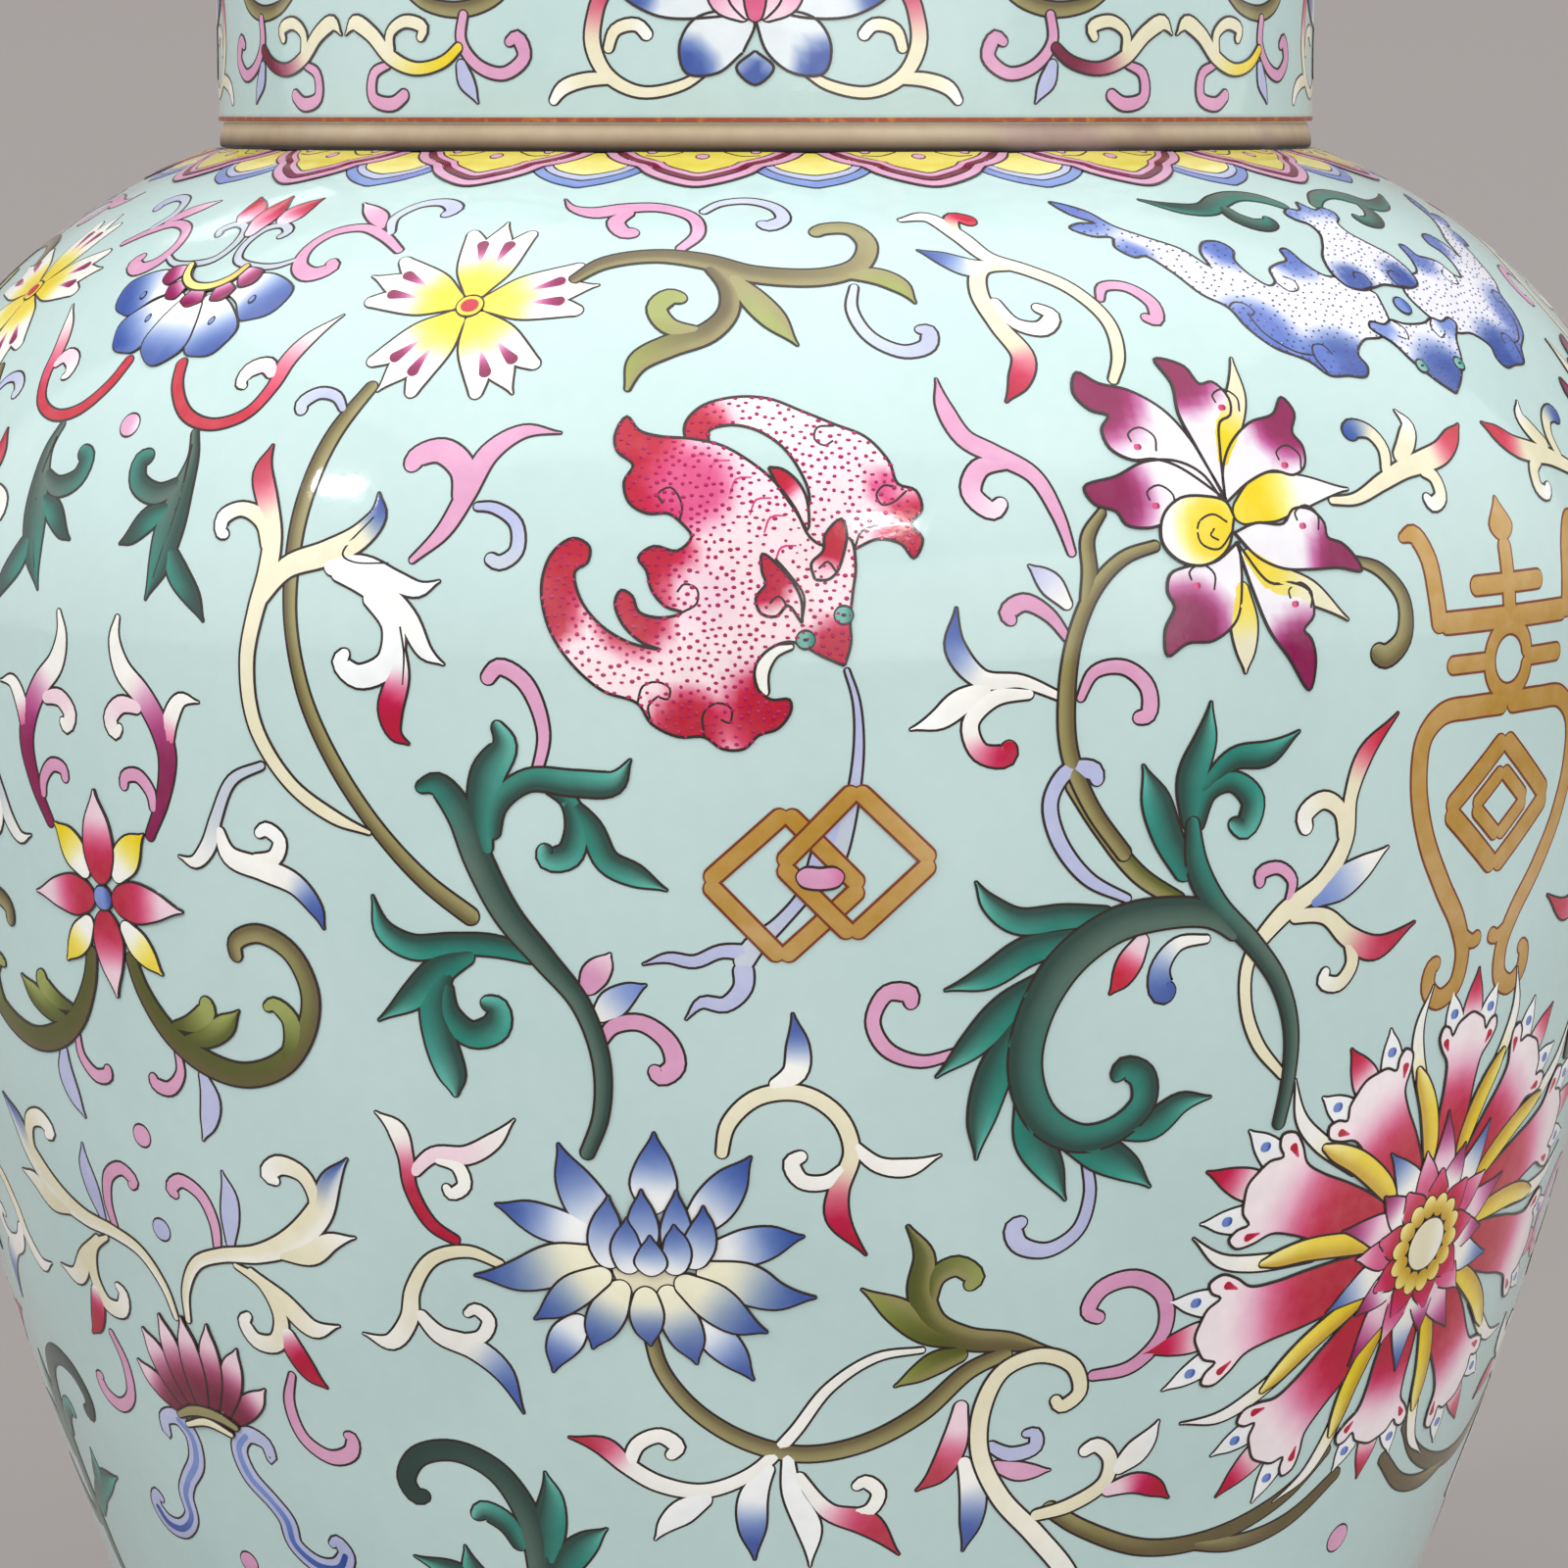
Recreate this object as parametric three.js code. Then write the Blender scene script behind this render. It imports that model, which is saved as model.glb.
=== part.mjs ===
// Porcelain ginger jar with a cap-shaped lid.
// The body is thrown in two sections that are joined with slip at the belly, and the lid drops over the neck.
// Millimetres, +Z up. The origin is the middle of the foot, on the surface that the jar stands on.

import * as THREE from 'three';

// Body
const bellyRadius = 116;      // widest place of the jar, and the line where the two sections meet
const bellyHeight = 184;      // height of that line above the foot
const bodyWall = 6;
const footRadius = 74;
const footHeight = 6;          // upright stretch above the foot's edge
const lowerFlare = 0.06;      // how far the wall leans out as it leaves the foot
const lowerFootPull = 31;     // length over which it keeps that lean
const lowerBellyPull = 77;    // length over which it stays upright below the belly
const shoulderRise = 55.5;    // from the belly line up to the lid's seat
const shoulderSlope = 0.32;   // fall of the shoulder as it leaves the seat
const shoulderSeatPull = 20;
const shoulderBellyPull = 29;

// Foot ring and floor
const footRingWidth = 8;
const footChamfer = 1.5;
const footRecess = 5;         // hollow under the base
const floorThickness = 6;
const floorCorner = 12;       // rounding between floor and wall, inside

// Neck
const mouthRadius = 58.5;
const neckWall = 5;
const neckHeight = 21;        // above the seat
const neckFillet = 1.5;

// Lid
const lidClearance = 2;       // all round, between neck and skirt
const lidWall = 5.4;
const lidSideHeight = 37;     // upright side, from the lip to where the crown begins
const crownRise = 17;
const crownCornerPull = 11;   // length over which the crown keeps upright at the side
const crownTopPull = 40;      // length over which it keeps level at the top
const lipRadius = 1.6;
const seatMargin = 0.6;       // bare ring of the seat that shows outside the lip

const jointGap = 0.3;         // line of slip between the sections, and the lid's gap on its seat
const roundSegments = 48;
const wallSteps = 12;
const crownSteps = 10;
const edgeSteps = 3;

const seatHeight = bellyHeight + shoulderRise;
const neckRadius = mouthRadius + neckWall;
const lidInnerRadius = neckRadius + lidClearance;
const lidRadius = lidInnerRadius + lidWall;
const seatRadius = lidRadius + seatMargin;
const floorTop = footRecess + floorThickness;

const point = (radius, height) => new THREE.Vector2(radius, height);

const bend = (start, startPull, endPull, end) => new THREE.CubicBezierCurve(start, startPull, endPull, end);

// Quarter turn from one point to another round the corner between them.
const roundCorner = (start, corner, end) =>
  new THREE.QuadraticBezierCurve(start, corner, end).getPoints(edgeSteps);

// Points at a wall's thickness inside a curve that climbs the outer face, from the top down.
function insideOf(curve, thickness, steps) {
  const points = [];
  for (let step = steps; step >= 0; step -= 1) {
    const along = step / steps;
    const onFace = curve.getPoint(along);
    const direction = curve.getTangent(along);
    points.push(point(onFace.x - direction.y * thickness, onFace.y + direction.x * thickness));
  }
  return points;
}

// Turns a profile round the upright axis. It runs up the outside and down the inside, so that faces point out.
function thrown(name, profile, material) {
  const geometry = new THREE.LatheGeometry(profile, roundSegments);
  geometry.rotateX(Math.PI / 2);
  const mesh = new THREE.Mesh(geometry, material);
  mesh.name = name;
  return mesh;
}

const glaze = new THREE.MeshStandardMaterial({ color: 0xc6e0d8, roughness: 0.15, metalness: 0 });
const lidGlaze = new THREE.MeshStandardMaterial({ color: 0xc2dcd6, roughness: 0.15, metalness: 0 });

// Lower section: foot ring, recessed base, floor and the wall up to the belly.
function lowerSection() {
  const wallStart = point(footRadius, footHeight);
  const wallEnd = point(bellyRadius, bellyHeight);
  const wall = bend(
    wallStart,
    point(footRadius + lowerFlare * lowerFootPull, footHeight + lowerFootPull),
    point(bellyRadius, bellyHeight - lowerBellyPull),
    wallEnd,
  );
  const inside = insideOf(wall, bodyWall, wallSteps).filter((p) => p.y > floorTop + floorCorner);
  const lowest = inside.at(-1);
  const profile = [
    point(0, footRecess),
    point(footRadius - footRingWidth, footRecess),
    point(footRadius - footRingWidth, 0),
    point(footRadius - footChamfer, 0),
    point(footRadius, footChamfer),
    ...wall.getPoints(wallSteps),
    ...inside,
    ...roundCorner(
      point(lowest.x - bodyWall / 2, floorTop + floorCorner / 2),
      point(lowest.x - bodyWall, floorTop),
      point(lowest.x - bodyWall - floorCorner, floorTop),
    ),
    point(0, floorTop),
  ];
  return thrown('jar_lower_section', profile, glaze);
}

// Upper section: shoulder, flat seat for the lid, short neck and rounded mouth.
function upperSection() {
  const start = bellyHeight + jointGap;
  const shoulder = bend(
    point(bellyRadius, start),
    point(bellyRadius, start + shoulderBellyPull),
    point(seatRadius + shoulderSeatPull, seatHeight - shoulderSlope * shoulderSeatPull),
    point(seatRadius, seatHeight),
  );
  const mouthTop = seatHeight + neckHeight;
  const lipMiddle = mouthRadius + neckWall / 2;
  const profile = [
    ...shoulder.getPoints(wallSteps),
    ...roundCorner(
      point(neckRadius + neckFillet, seatHeight),
      point(neckRadius, seatHeight),
      point(neckRadius, seatHeight + neckFillet),
    ),
    ...roundCorner(
      point(neckRadius, mouthTop - neckWall / 2),
      point(neckRadius, mouthTop),
      point(lipMiddle, mouthTop),
    ),
    ...roundCorner(
      point(lipMiddle, mouthTop),
      point(mouthRadius, mouthTop),
      point(mouthRadius, mouthTop - neckWall / 2),
    ).slice(1),
    point(mouthRadius, seatHeight - bodyWall),
    ...insideOf(shoulder, bodyWall, wallSteps),
    point(bellyRadius, start),
  ];
  return thrown('jar_upper_section', profile, glaze);
}

// Lid: a cap with an upright side, a rounded lip and a gently domed crown.
function lid() {
  const lipHeight = seatHeight + jointGap;
  const sideTop = lipHeight + lidSideHeight;
  const top = sideTop + crownRise;
  const crown = bend(
    point(lidRadius, sideTop),
    point(lidRadius, sideTop + crownCornerPull),
    point(crownTopPull, top),
    point(0, top),
  );
  const profile = [
    ...insideOf(crown, lidWall, crownSteps),
    ...roundCorner(
      point(lidInnerRadius, lipHeight + lipRadius),
      point(lidInnerRadius, lipHeight),
      point(lidInnerRadius + lipRadius, lipHeight),
    ),
    ...roundCorner(
      point(lidRadius - lipRadius, lipHeight),
      point(lidRadius, lipHeight),
      point(lidRadius, lipHeight + lipRadius),
    ),
    ...crown.getPoints(crownSteps),
  ];
  return thrown('lid', profile, lidGlaze);
}

const jar = new THREE.Group();
jar.add(lowerSection(), upperSection(), lid());

export default jar;
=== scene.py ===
import math

import bpy
import numpy as np
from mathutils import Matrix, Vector
from mathutils.geometry import delaunay_2d_cdt


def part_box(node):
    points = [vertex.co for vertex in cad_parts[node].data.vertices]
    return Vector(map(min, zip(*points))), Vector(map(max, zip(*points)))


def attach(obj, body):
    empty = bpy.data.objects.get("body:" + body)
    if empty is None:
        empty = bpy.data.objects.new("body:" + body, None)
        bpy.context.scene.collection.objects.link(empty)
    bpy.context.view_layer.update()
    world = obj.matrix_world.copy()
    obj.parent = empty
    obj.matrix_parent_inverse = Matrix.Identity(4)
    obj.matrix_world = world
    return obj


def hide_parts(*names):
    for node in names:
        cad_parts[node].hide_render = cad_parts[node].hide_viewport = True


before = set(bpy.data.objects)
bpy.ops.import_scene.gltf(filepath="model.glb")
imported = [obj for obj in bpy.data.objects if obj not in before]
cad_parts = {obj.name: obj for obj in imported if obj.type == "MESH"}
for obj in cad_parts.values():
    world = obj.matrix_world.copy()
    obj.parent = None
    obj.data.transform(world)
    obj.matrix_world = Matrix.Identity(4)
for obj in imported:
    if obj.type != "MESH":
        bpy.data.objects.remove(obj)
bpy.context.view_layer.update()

# Studio: a warm grey floor that sweeps up into a backdrop, an even soft light from above, in front and
# all round, and two small softboxes.
# The camera stands level with the jar's shoulder and looks slightly down at the belly.
LAMP_WARM = (1.0, 0.985, 0.96)
EYE_HEIGHT = 0.245
EYE_DISTANCE = 0.700
LENS_DOWN = math.radians(7.24)
LENS_RIGHT = math.radians(0.195)
LENS_MM = 122.27

lens = bpy.data.cameras.new("camera")
lens.lens = LENS_MM
lens.sensor_width = 36
camera = bpy.data.objects.new("camera", lens)
camera.location = (0, -EYE_DISTANCE, EYE_HEIGHT)
camera.rotation_euler = (math.pi / 2 - LENS_DOWN, 0, -LENS_RIGHT)
bpy.context.collection.objects.link(camera)
bpy.context.scene.camera = camera
bpy.context.scene.view_settings.view_transform = "Standard"


def lamp(name, place, aim, width, height, watts, colour=LAMP_WARM):
    """A softbox at a place, turned to face a point."""
    light = bpy.data.lights.new(name, "AREA")
    light.shape = "RECTANGLE"
    light.size = width
    light.size_y = height
    light.energy = watts
    light.color = colour
    box = bpy.data.objects.new(name, light)
    box.location = place
    box.rotation_euler = (Vector(aim) - Vector(place)).to_track_quat("-Z", "Y").to_euler()
    bpy.context.collection.objects.link(box)


BELLY_MIDDLE = (0, 0, 0.17)
lamp("softbox_left", (-0.93, -0.58, 0.86), BELLY_MIDDLE, 0.09, 0.07, 2.2)
lamp("softbox_right", (0.30, -1.10, 0.80), BELLY_MIDDLE, 0.10, 0.05, 1.5)
lamp("overhead", (0, 0, 1.9), BELLY_MIDDLE, 3, 3, 23)
lamp("front_fill", (1.0, -2.0, 0.40), BELLY_MIDDLE, 2.0, 1.2, 8)
lamp("fill_back", (-0.30, 1.50, 1.00), BELLY_MIDDLE, 1.2, 0.8, 5)

world = bpy.data.worlds.new("studio")
world.use_nodes = True
world.node_tree.nodes["Background"].inputs["Color"].default_value = (0.80, 0.80, 0.80, 1)
world.node_tree.nodes["Background"].inputs["Strength"].default_value = 1.28
bpy.context.scene.world = world


def new_mesh_object(name, points, faces):
    """An object at the origin with its place in its mesh."""
    mesh = bpy.data.meshes.new(name)
    mesh.from_pydata(points, [], faces)
    mesh.validate()
    made = bpy.data.objects.new(name, mesh)
    bpy.context.collection.objects.link(made)
    return made


def plain_material(name, colour, roughness):
    """A material whose colour and roughness sit on the shader's own sockets."""
    material = bpy.data.materials.new(name)
    material.use_nodes = True
    shader = material.node_tree.nodes["Principled BSDF"]
    shader.inputs["Base Color"].default_value = (*colour, 1)
    shader.inputs["Roughness"].default_value = roughness
    return material


FLOOR_HALF = 2.2
SWEEP_START = 0.75
SWEEP_RADIUS = 0.55
sweep = [(-FLOOR_HALF, 0.0), (SWEEP_START, 0.0)]
sweep += [
    (SWEEP_START + SWEEP_RADIUS * math.sin(turn), SWEEP_RADIUS * (1 - math.cos(turn)))
    for turn in np.radians(np.arange(10, 91, 10))
]
sweep += [(SWEEP_START + SWEEP_RADIUS, 3.0)]
floor_points = [(side * FLOOR_HALF, y, z) for side in (-1, 1) for y, z in sweep]
floor_faces = [(i, i + len(sweep), i + len(sweep) + 1, i + 1) for i in range(len(sweep) - 1)]
floor = new_mesh_object("floor", floor_points, floor_faces)
floor.data.shade_smooth()
floor.data.materials.append(plain_material("backdrop_paper", (0.306, 0.286, 0.278), 0.9))

# Jar body: one fired shell of porcelain, thrown in two sections and glazed inside and out.
# Its outer line is two smooth bends that meet upright at the belly, and it carries all the painting.
LOWER_FLARE = 0.06
LOWER_FOOT_PULL = 0.031
LOWER_BELLY_PULL = 0.077
SHOULDER_SLOPE = 0.32
SHOULDER_SEAT_PULL = 0.020
SHOULDER_BELLY_PULL = 0.029
FOOT_RADIUS = 0.074
FOOT_HEIGHT = 0.006
FOOT_CHAMFER = 0.0015
FOOT_RING_WIDTH = 0.008
FOOT_RECESS = 0.005
FLOOR_THICKNESS = 0.006
WALL = 0.006
NECK_WALL = 0.005
LID_SEAT_GAP = 0.0003
SEAT_MARGIN = 0.0006
LID_CLEARANCE = 0.002
LID_WALL = 0.0054

lower_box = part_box("jar_lower_section")
upper_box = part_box("jar_upper_section")
lid_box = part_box("lid")
BELLY_RADIUS = upper_box[1][0]
BELLY_HEIGHT = lower_box[1][2]
MOUTH_TOP = upper_box[1][2]
LID_RADIUS = lid_box[1][0]
SEAT_HEIGHT = lid_box[0][2] - LID_SEAT_GAP
SEAT_RADIUS = LID_RADIUS + SEAT_MARGIN
NECK_RADIUS = LID_RADIUS - LID_WALL - LID_CLEARANCE
MOUTH_RADIUS = NECK_RADIUS - NECK_WALL
ROUND_STEPS = 192


def bend(start, start_pull, end_pull, end, steps=48):
    """Points along one smooth bend between two points, with a pull at each end."""
    t = np.linspace(0, 1, steps + 1)[:, None]
    a, b, c, d = (np.array(p, float) for p in (start, start_pull, end_pull, end))
    return (1 - t) ** 3 * a + 3 * (1 - t) ** 2 * t * b + 3 * (1 - t) * t**2 * c + t**3 * d


def outward(line):
    """Unit normals on the right-hand side of a line of (radius, height) points."""
    along = np.gradient(line, axis=0)
    along /= np.linalg.norm(along, axis=1)[:, None]
    return np.column_stack([along[:, 1], -along[:, 0]])


def thrown(name, profile, steps=ROUND_STEPS):
    """Turns a (radius, height) profile round the upright axis into a smooth mesh."""
    profile = np.array(profile, float)
    on_axis = profile[:, 0] < 1e-7
    turns = np.arange(steps) * 2 * math.pi / steps
    points, rows = [], []
    for (radius, height), single in zip(profile, on_axis):
        start = len(points)
        if single:
            points.append((0, 0, height))
            rows.append([start] * steps)
        else:
            points += [(radius * math.sin(t), -radius * math.cos(t), height) for t in turns]
            rows.append(list(range(start, start + steps)))
    faces = []
    for low, high in zip(rows, rows[1:]):
        for i in range(steps):
            j = (i + 1) % steps
            face = [low[i], low[j], high[j], high[i]]
            faces.append([v for k, v in enumerate(face) if v not in face[:k]])
    made = new_mesh_object(name, points, faces)
    made.data.shade_smooth()
    made.data.set_sharp_from_angle(angle=math.radians(40))
    return made


lower_wall = bend(
    (FOOT_RADIUS, FOOT_HEIGHT),
    (FOOT_RADIUS + LOWER_FLARE * LOWER_FOOT_PULL, FOOT_HEIGHT + LOWER_FOOT_PULL),
    (BELLY_RADIUS, BELLY_HEIGHT - LOWER_BELLY_PULL),
    (BELLY_RADIUS, BELLY_HEIGHT),
)
shoulder = bend(
    (BELLY_RADIUS, BELLY_HEIGHT),
    (BELLY_RADIUS, BELLY_HEIGHT + SHOULDER_BELLY_PULL),
    (SEAT_RADIUS + SHOULDER_SEAT_PULL, SEAT_HEIGHT - SHOULDER_SLOPE * SHOULDER_SEAT_PULL),
    (SEAT_RADIUS, SEAT_HEIGHT),
)
outer_wall = np.vstack([lower_wall[:-1], shoulder])
inner_wall = (outer_wall - outward(outer_wall) * WALL)[::-1]
inner_wall = inner_wall[inner_wall[:, 1] > FOOT_RECESS + FLOOR_THICKNESS + 0.012]
floor_edge = inner_wall[-1][0]
floor_top = FOOT_RECESS + FLOOR_THICKNESS
GLAZE_STOP = 0.0022
foot_line = [(FOOT_RADIUS - 0.0004, GLAZE_STOP), (FOOT_RADIUS, GLAZE_STOP + 0.0006)]


def rounded(start, corner, end, steps=6):
    """A soft corner between two points."""
    return [tuple(p) for p in bend(start, corner, corner, end, steps)]


neck = rounded(
    (NECK_RADIUS + 0.002, SEAT_HEIGHT), (NECK_RADIUS, SEAT_HEIGHT), (NECK_RADIUS, SEAT_HEIGHT + 0.002)
)
mouth = rounded(
    (NECK_RADIUS, MOUTH_TOP - NECK_WALL / 2),
    (NECK_RADIUS, MOUTH_TOP),
    (NECK_RADIUS - NECK_WALL / 2, MOUTH_TOP),
)
mouth += rounded(
    (NECK_RADIUS - NECK_WALL / 2, MOUTH_TOP),
    (MOUTH_RADIUS, MOUTH_TOP),
    (MOUTH_RADIUS, MOUTH_TOP - NECK_WALL / 2),
)[1:]
throat = rounded(
    (MOUTH_RADIUS, SEAT_HEIGHT + 0.004),
    (MOUTH_RADIUS, SEAT_HEIGHT - WALL),
    (MOUTH_RADIUS + 0.006, SEAT_HEIGHT - WALL),
)
inside_corner = rounded(
    (floor_edge - 0.001, floor_top + 0.011),
    (floor_edge - 0.006, floor_top),
    (floor_edge - 0.020, floor_top),
)
body_profile = foot_line + [tuple(p) for p in outer_wall] + neck + mouth + throat
body_profile += [tuple(p) for p in inner_wall] + inside_corner + [(0.0, floor_top)]


def add(tree, kind, inputs=None, **kept):
    """Adds a node. Each input is given a value, or another node's socket to follow."""
    node = tree.nodes.new(kind)
    for name, value in kept.items():
        setattr(node, name, value)
    for name, value in (inputs or {}).items():
        if isinstance(value, bpy.types.NodeSocket):
            tree.links.new(value, node.inputs[name])
        else:
            node.inputs[name].default_value = value
    return node


def spread(tree, value, low, high, new_low=0.0, new_high=1.0):
    """Moves values from one range to another."""
    return add(tree, "ShaderNodeMapRange", {
        "Value": value, "From Min": low, "From Max": high, "To Min": new_low, "To Max": new_high,
    }).outputs["Result"]


def noise(tree, scale, detail):
    """Cloudy values from Object coordinates."""
    place = add(tree, "ShaderNodeTexCoord").outputs["Object"]
    made = add(tree, "ShaderNodeTexNoise", {"Vector": place, "Scale": scale, "Detail": detail})
    return made.outputs["Fac"]


def maths(tree, kind, first, second):
    """One sum on two values or sockets."""
    return add(tree, "ShaderNodeMath", {0: first, 1: second}, operation=kind).outputs[0]


def ramp(tree, value, *stops):
    """Colours along a value, each stop a place and a colour."""
    node = add(tree, "ShaderNodeValToRGB", {"Fac": value})
    elements = node.color_ramp.elements
    for nth, (place, colour) in enumerate(stops):
        stop = elements[nth] if nth < 2 else elements.new(place)
        stop.position = place
        stop.color = (*colour, 1)
    return node.outputs["Color"]


def glaze_group():
    """Fired glaze: cloudy colour, a faint dimpled surface and pinholes, from Object coordinates."""
    group = bpy.data.node_groups.new("fired_glaze", "ShaderNodeTree")
    face = group.interface
    face.new_socket("Colour", in_out="INPUT", socket_type="NodeSocketColor")
    face.new_socket("Clouding", in_out="INPUT", socket_type="NodeSocketFloat").default_value = 0.12
    face.new_socket("Base Roughness", in_out="INPUT", socket_type="NodeSocketFloat").default_value = 0.08
    face.new_socket("Colour", in_out="OUTPUT", socket_type="NodeSocketColor")
    face.new_socket("Roughness", in_out="OUTPUT", socket_type="NodeSocketFloat")
    face.new_socket("Height", in_out="OUTPUT", socket_type="NodeSocketFloat")
    given = add(group, "NodeGroupInput").outputs
    broad = spread(group, noise(group, 38, 4), 0.3, 0.7, -1, 1)
    fine = spread(group, noise(group, 420, 3), 0.3, 0.7, -0.35, 0.35)
    clouds = maths(group, "MULTIPLY", maths(group, "ADD", broad, fine), given["Clouding"])
    shade = add(group, "ShaderNodeHueSaturation", {
        "Color": given["Colour"], "Value": maths(group, "ADD", clouds, 1),
        "Saturation": maths(group, "SUBTRACT", 1, clouds),
    })
    uneven = spread(group, noise(group, 160, 2), 0.3, 0.7, -0.03, 0.05)
    pinholes = maths(group, "MULTIPLY", noise(group, 900, 2), 0.12)
    add(group, "NodeGroupOutput", {
        "Colour": shade.outputs["Color"],
        "Roughness": maths(group, "ADD", given["Base Roughness"], uneven),
        "Height": maths(group, "ADD", noise(group, 55, 1), pinholes),
    })
    return group


FIRED_GLAZE = glaze_group()


def shaded(name):
    """A new material with its node tree and its shader."""
    material = bpy.data.materials.new(name)
    material.use_nodes = True
    return material, material.node_tree, material.node_tree.nodes["Principled BSDF"]


def glazed(name, colour, clouding=0.10, roughness=0.08, dimple=0.00025, attribute=None):
    """A glazed or enamelled finish. Its colour is one value, or comes from a colour attribute."""
    material, tree, shader = shaded(name)
    shader.inputs["IOR"].default_value = 1.5
    shader.inputs["Specular IOR Level"].default_value = 0.5
    surface = add(tree, "ShaderNodeGroup", node_tree=FIRED_GLAZE)
    surface.inputs["Colour"].default_value = (*colour, 1)
    surface.inputs["Clouding"].default_value = clouding
    surface.inputs["Base Roughness"].default_value = roughness
    if attribute:
        painted = add(tree, "ShaderNodeAttribute", attribute_name=attribute)
        tree.links.new(painted.outputs["Color"], surface.inputs["Colour"])
    height = surface.outputs["Height"]
    bump = add(tree, "ShaderNodeBump", {"Strength": 0.35, "Distance": dimple, "Height": height})
    for source, name in (("Colour", "Base Color"), ("Roughness", "Roughness")):
        tree.links.new(surface.outputs[source], shader.inputs[name])
    tree.links.new(bump.outputs["Normal"], shader.inputs["Normal"])
    return material


def linear(red, green, blue):
    """Scene-linear colour from 0-255 paint-chart values."""
    shares = [value / 255 for value in (red, green, blue)]
    return tuple(((s + 0.055) / 1.055) ** 2.4 if s > 0.04 else s / 12.92 for s in shares)


TURQUOISE = linear(189, 214, 212)
turquoise_glaze = glazed("turquoise_glaze", TURQUOISE, clouding=0.035)
jar_body = thrown("jar_body", body_profile)
jar_body.data.materials.append(turquoise_glaze)
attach(jar_body, "jar")
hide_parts("jar_lower_section", "jar_upper_section")

# Foot: the turned foot ring, ground bare where the jar stands, and the glazed base inside it.
# The bare clay is smooth, off-white and slightly stained by use.
FOOT_INSIDE = FOOT_RADIUS - FOOT_RING_WIDTH
ring_profile = [(FOOT_INSIDE, GLAZE_STOP)]
ring_profile += rounded((FOOT_INSIDE, 0.0012), (FOOT_INSIDE, 0), (FOOT_INSIDE + 0.0012, 0), 4)
ring_profile += [(FOOT_RADIUS - FOOT_CHAMFER, 0)]
ring_profile += [(FOOT_RADIUS - 0.0002, FOOT_CHAMFER), (FOOT_RADIUS - 0.0004, GLAZE_STOP)]
ring_profile += [(FOOT_INSIDE, GLAZE_STOP)]
base_profile = [(0, FOOT_RECESS)]
base_profile += rounded(
    (FOOT_INSIDE - 0.003, FOOT_RECESS), (FOOT_INSIDE, FOOT_RECESS), (FOOT_INSIDE, FOOT_RECESS - 0.0022), 5
)
base_profile += [(FOOT_INSIDE, GLAZE_STOP), (FOOT_RADIUS - 0.0004, GLAZE_STOP)]
base_profile += [(FOOT_RADIUS - 0.002, floor_top), (0, floor_top - 0.0004)]
CLAY = linear(206, 190, 162)
biscuit = glazed("bare_clay", CLAY, clouding=0.14, roughness=0.55, dimple=0.0004)
foot_ring = thrown("foot_ring", ring_profile)
foot_ring.data.materials.append(biscuit)
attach(foot_ring, "jar")
base_glaze = thrown("base_glaze", base_profile)
base_glaze.data.materials.append(turquoise_glaze)
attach(base_glaze, "jar")

# Lid: a thrown cap with an upright side, a low dome and a bare rounded lip that rests on the shoulder.
# It is glazed like the jar, and a narrow gilt line is drawn where the glaze stops above the lip.
LIP_HEIGHT = 0.0033
LIP_RADIUS = 0.0016
CROWN_RISE = 0.017
CROWN_CORNER_PULL = 0.011
CROWN_TOP_PULL = 0.040
LID_BOTTOM, LID_TOP = lid_box[0][2], lid_box[1][2]
crown = bend(
    (LID_RADIUS, LID_TOP - CROWN_RISE),
    (LID_RADIUS, LID_TOP - CROWN_RISE + CROWN_CORNER_PULL),
    (CROWN_TOP_PULL, LID_TOP),
    (0, LID_TOP),
    40,
)
lid_inside = crown - outward(crown) * LID_WALL
lid_inside[-1][0] = 0
lid_bore = lid_inside[0][0]
lip_top = LID_BOTTOM + LIP_HEIGHT
lid_profile = [tuple(p) for p in lid_inside[::-1]]
lid_profile += [(lid_bore, lip_top), (LID_RADIUS - 0.0006, lip_top)]
lid_profile += [(LID_RADIUS - 0.0001, lip_top + 0.0005), (LID_RADIUS, lip_top + 0.0012)]
lid_profile += [tuple(p) for p in crown]
lip_profile = [(lid_bore, lip_top)]
lip_profile += rounded(
    (lid_bore, LID_BOTTOM + LIP_RADIUS), (lid_bore, LID_BOTTOM), (lid_bore + LIP_RADIUS, LID_BOTTOM)
)
lip_profile += rounded(
    (LID_RADIUS - LIP_RADIUS, LID_BOTTOM),
    (LID_RADIUS, LID_BOTTOM),
    (LID_RADIUS - 0.0001, LID_BOTTOM + LIP_RADIUS),
    8,
)
lip_profile += [(LID_RADIUS - 0.0006, lip_top), (lid_bore, lip_top)]
lid_shell = thrown("lid_shell", lid_profile)
lid_shell.data.materials.append(turquoise_glaze)
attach(lid_shell, "lid")
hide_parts("lid")


def stained_clay_and_painted_shadow():
    """Bare clay with a painted contact shadow, darker towards the bottom where the lip meets the shoulder,
    and a few mauve stains above.
    """
    material = glazed("stained_clay_and_painted_shadow", CLAY, clouding=0.12, roughness=0.5, dimple=0.0004)
    tree = material.node_tree
    place = add(tree, "ShaderNodeTexCoord").outputs["Object"]
    height = add(tree, "ShaderNodeSeparateXYZ", {"Vector": place}).outputs["Z"]
    # Painted shadow: the lip is painted near-black at its lowest edge and lighter upwards, as shade where
    # it meets the shoulder.
    contact_shadow = ramp(tree, spread(tree, height, LID_BOTTOM, LID_BOTTOM + 0.0024),
                 (0.12, linear(40, 26, 18)), (1, linear(190, 172, 146)), (0.4, linear(118, 96, 74)))
    stain = add(tree, "ShaderNodeMixRGB", {
        "Fac": spread(tree, noise(tree, 45, 2), 0.58, 0.72, 0, 0.55),
        "Color1": contact_shadow, "Color2": (*linear(150, 116, 126), 1),
    })
    surface = next(node for node in tree.nodes if node.type == "GROUP")
    tree.links.new(stain.outputs["Color"], surface.inputs["Colour"])
    return material


lid_lip = thrown("lid_lip", lip_profile)
lid_lip.data.materials.append(stained_clay_and_painted_shadow())
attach(lid_lip, "lid")

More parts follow.
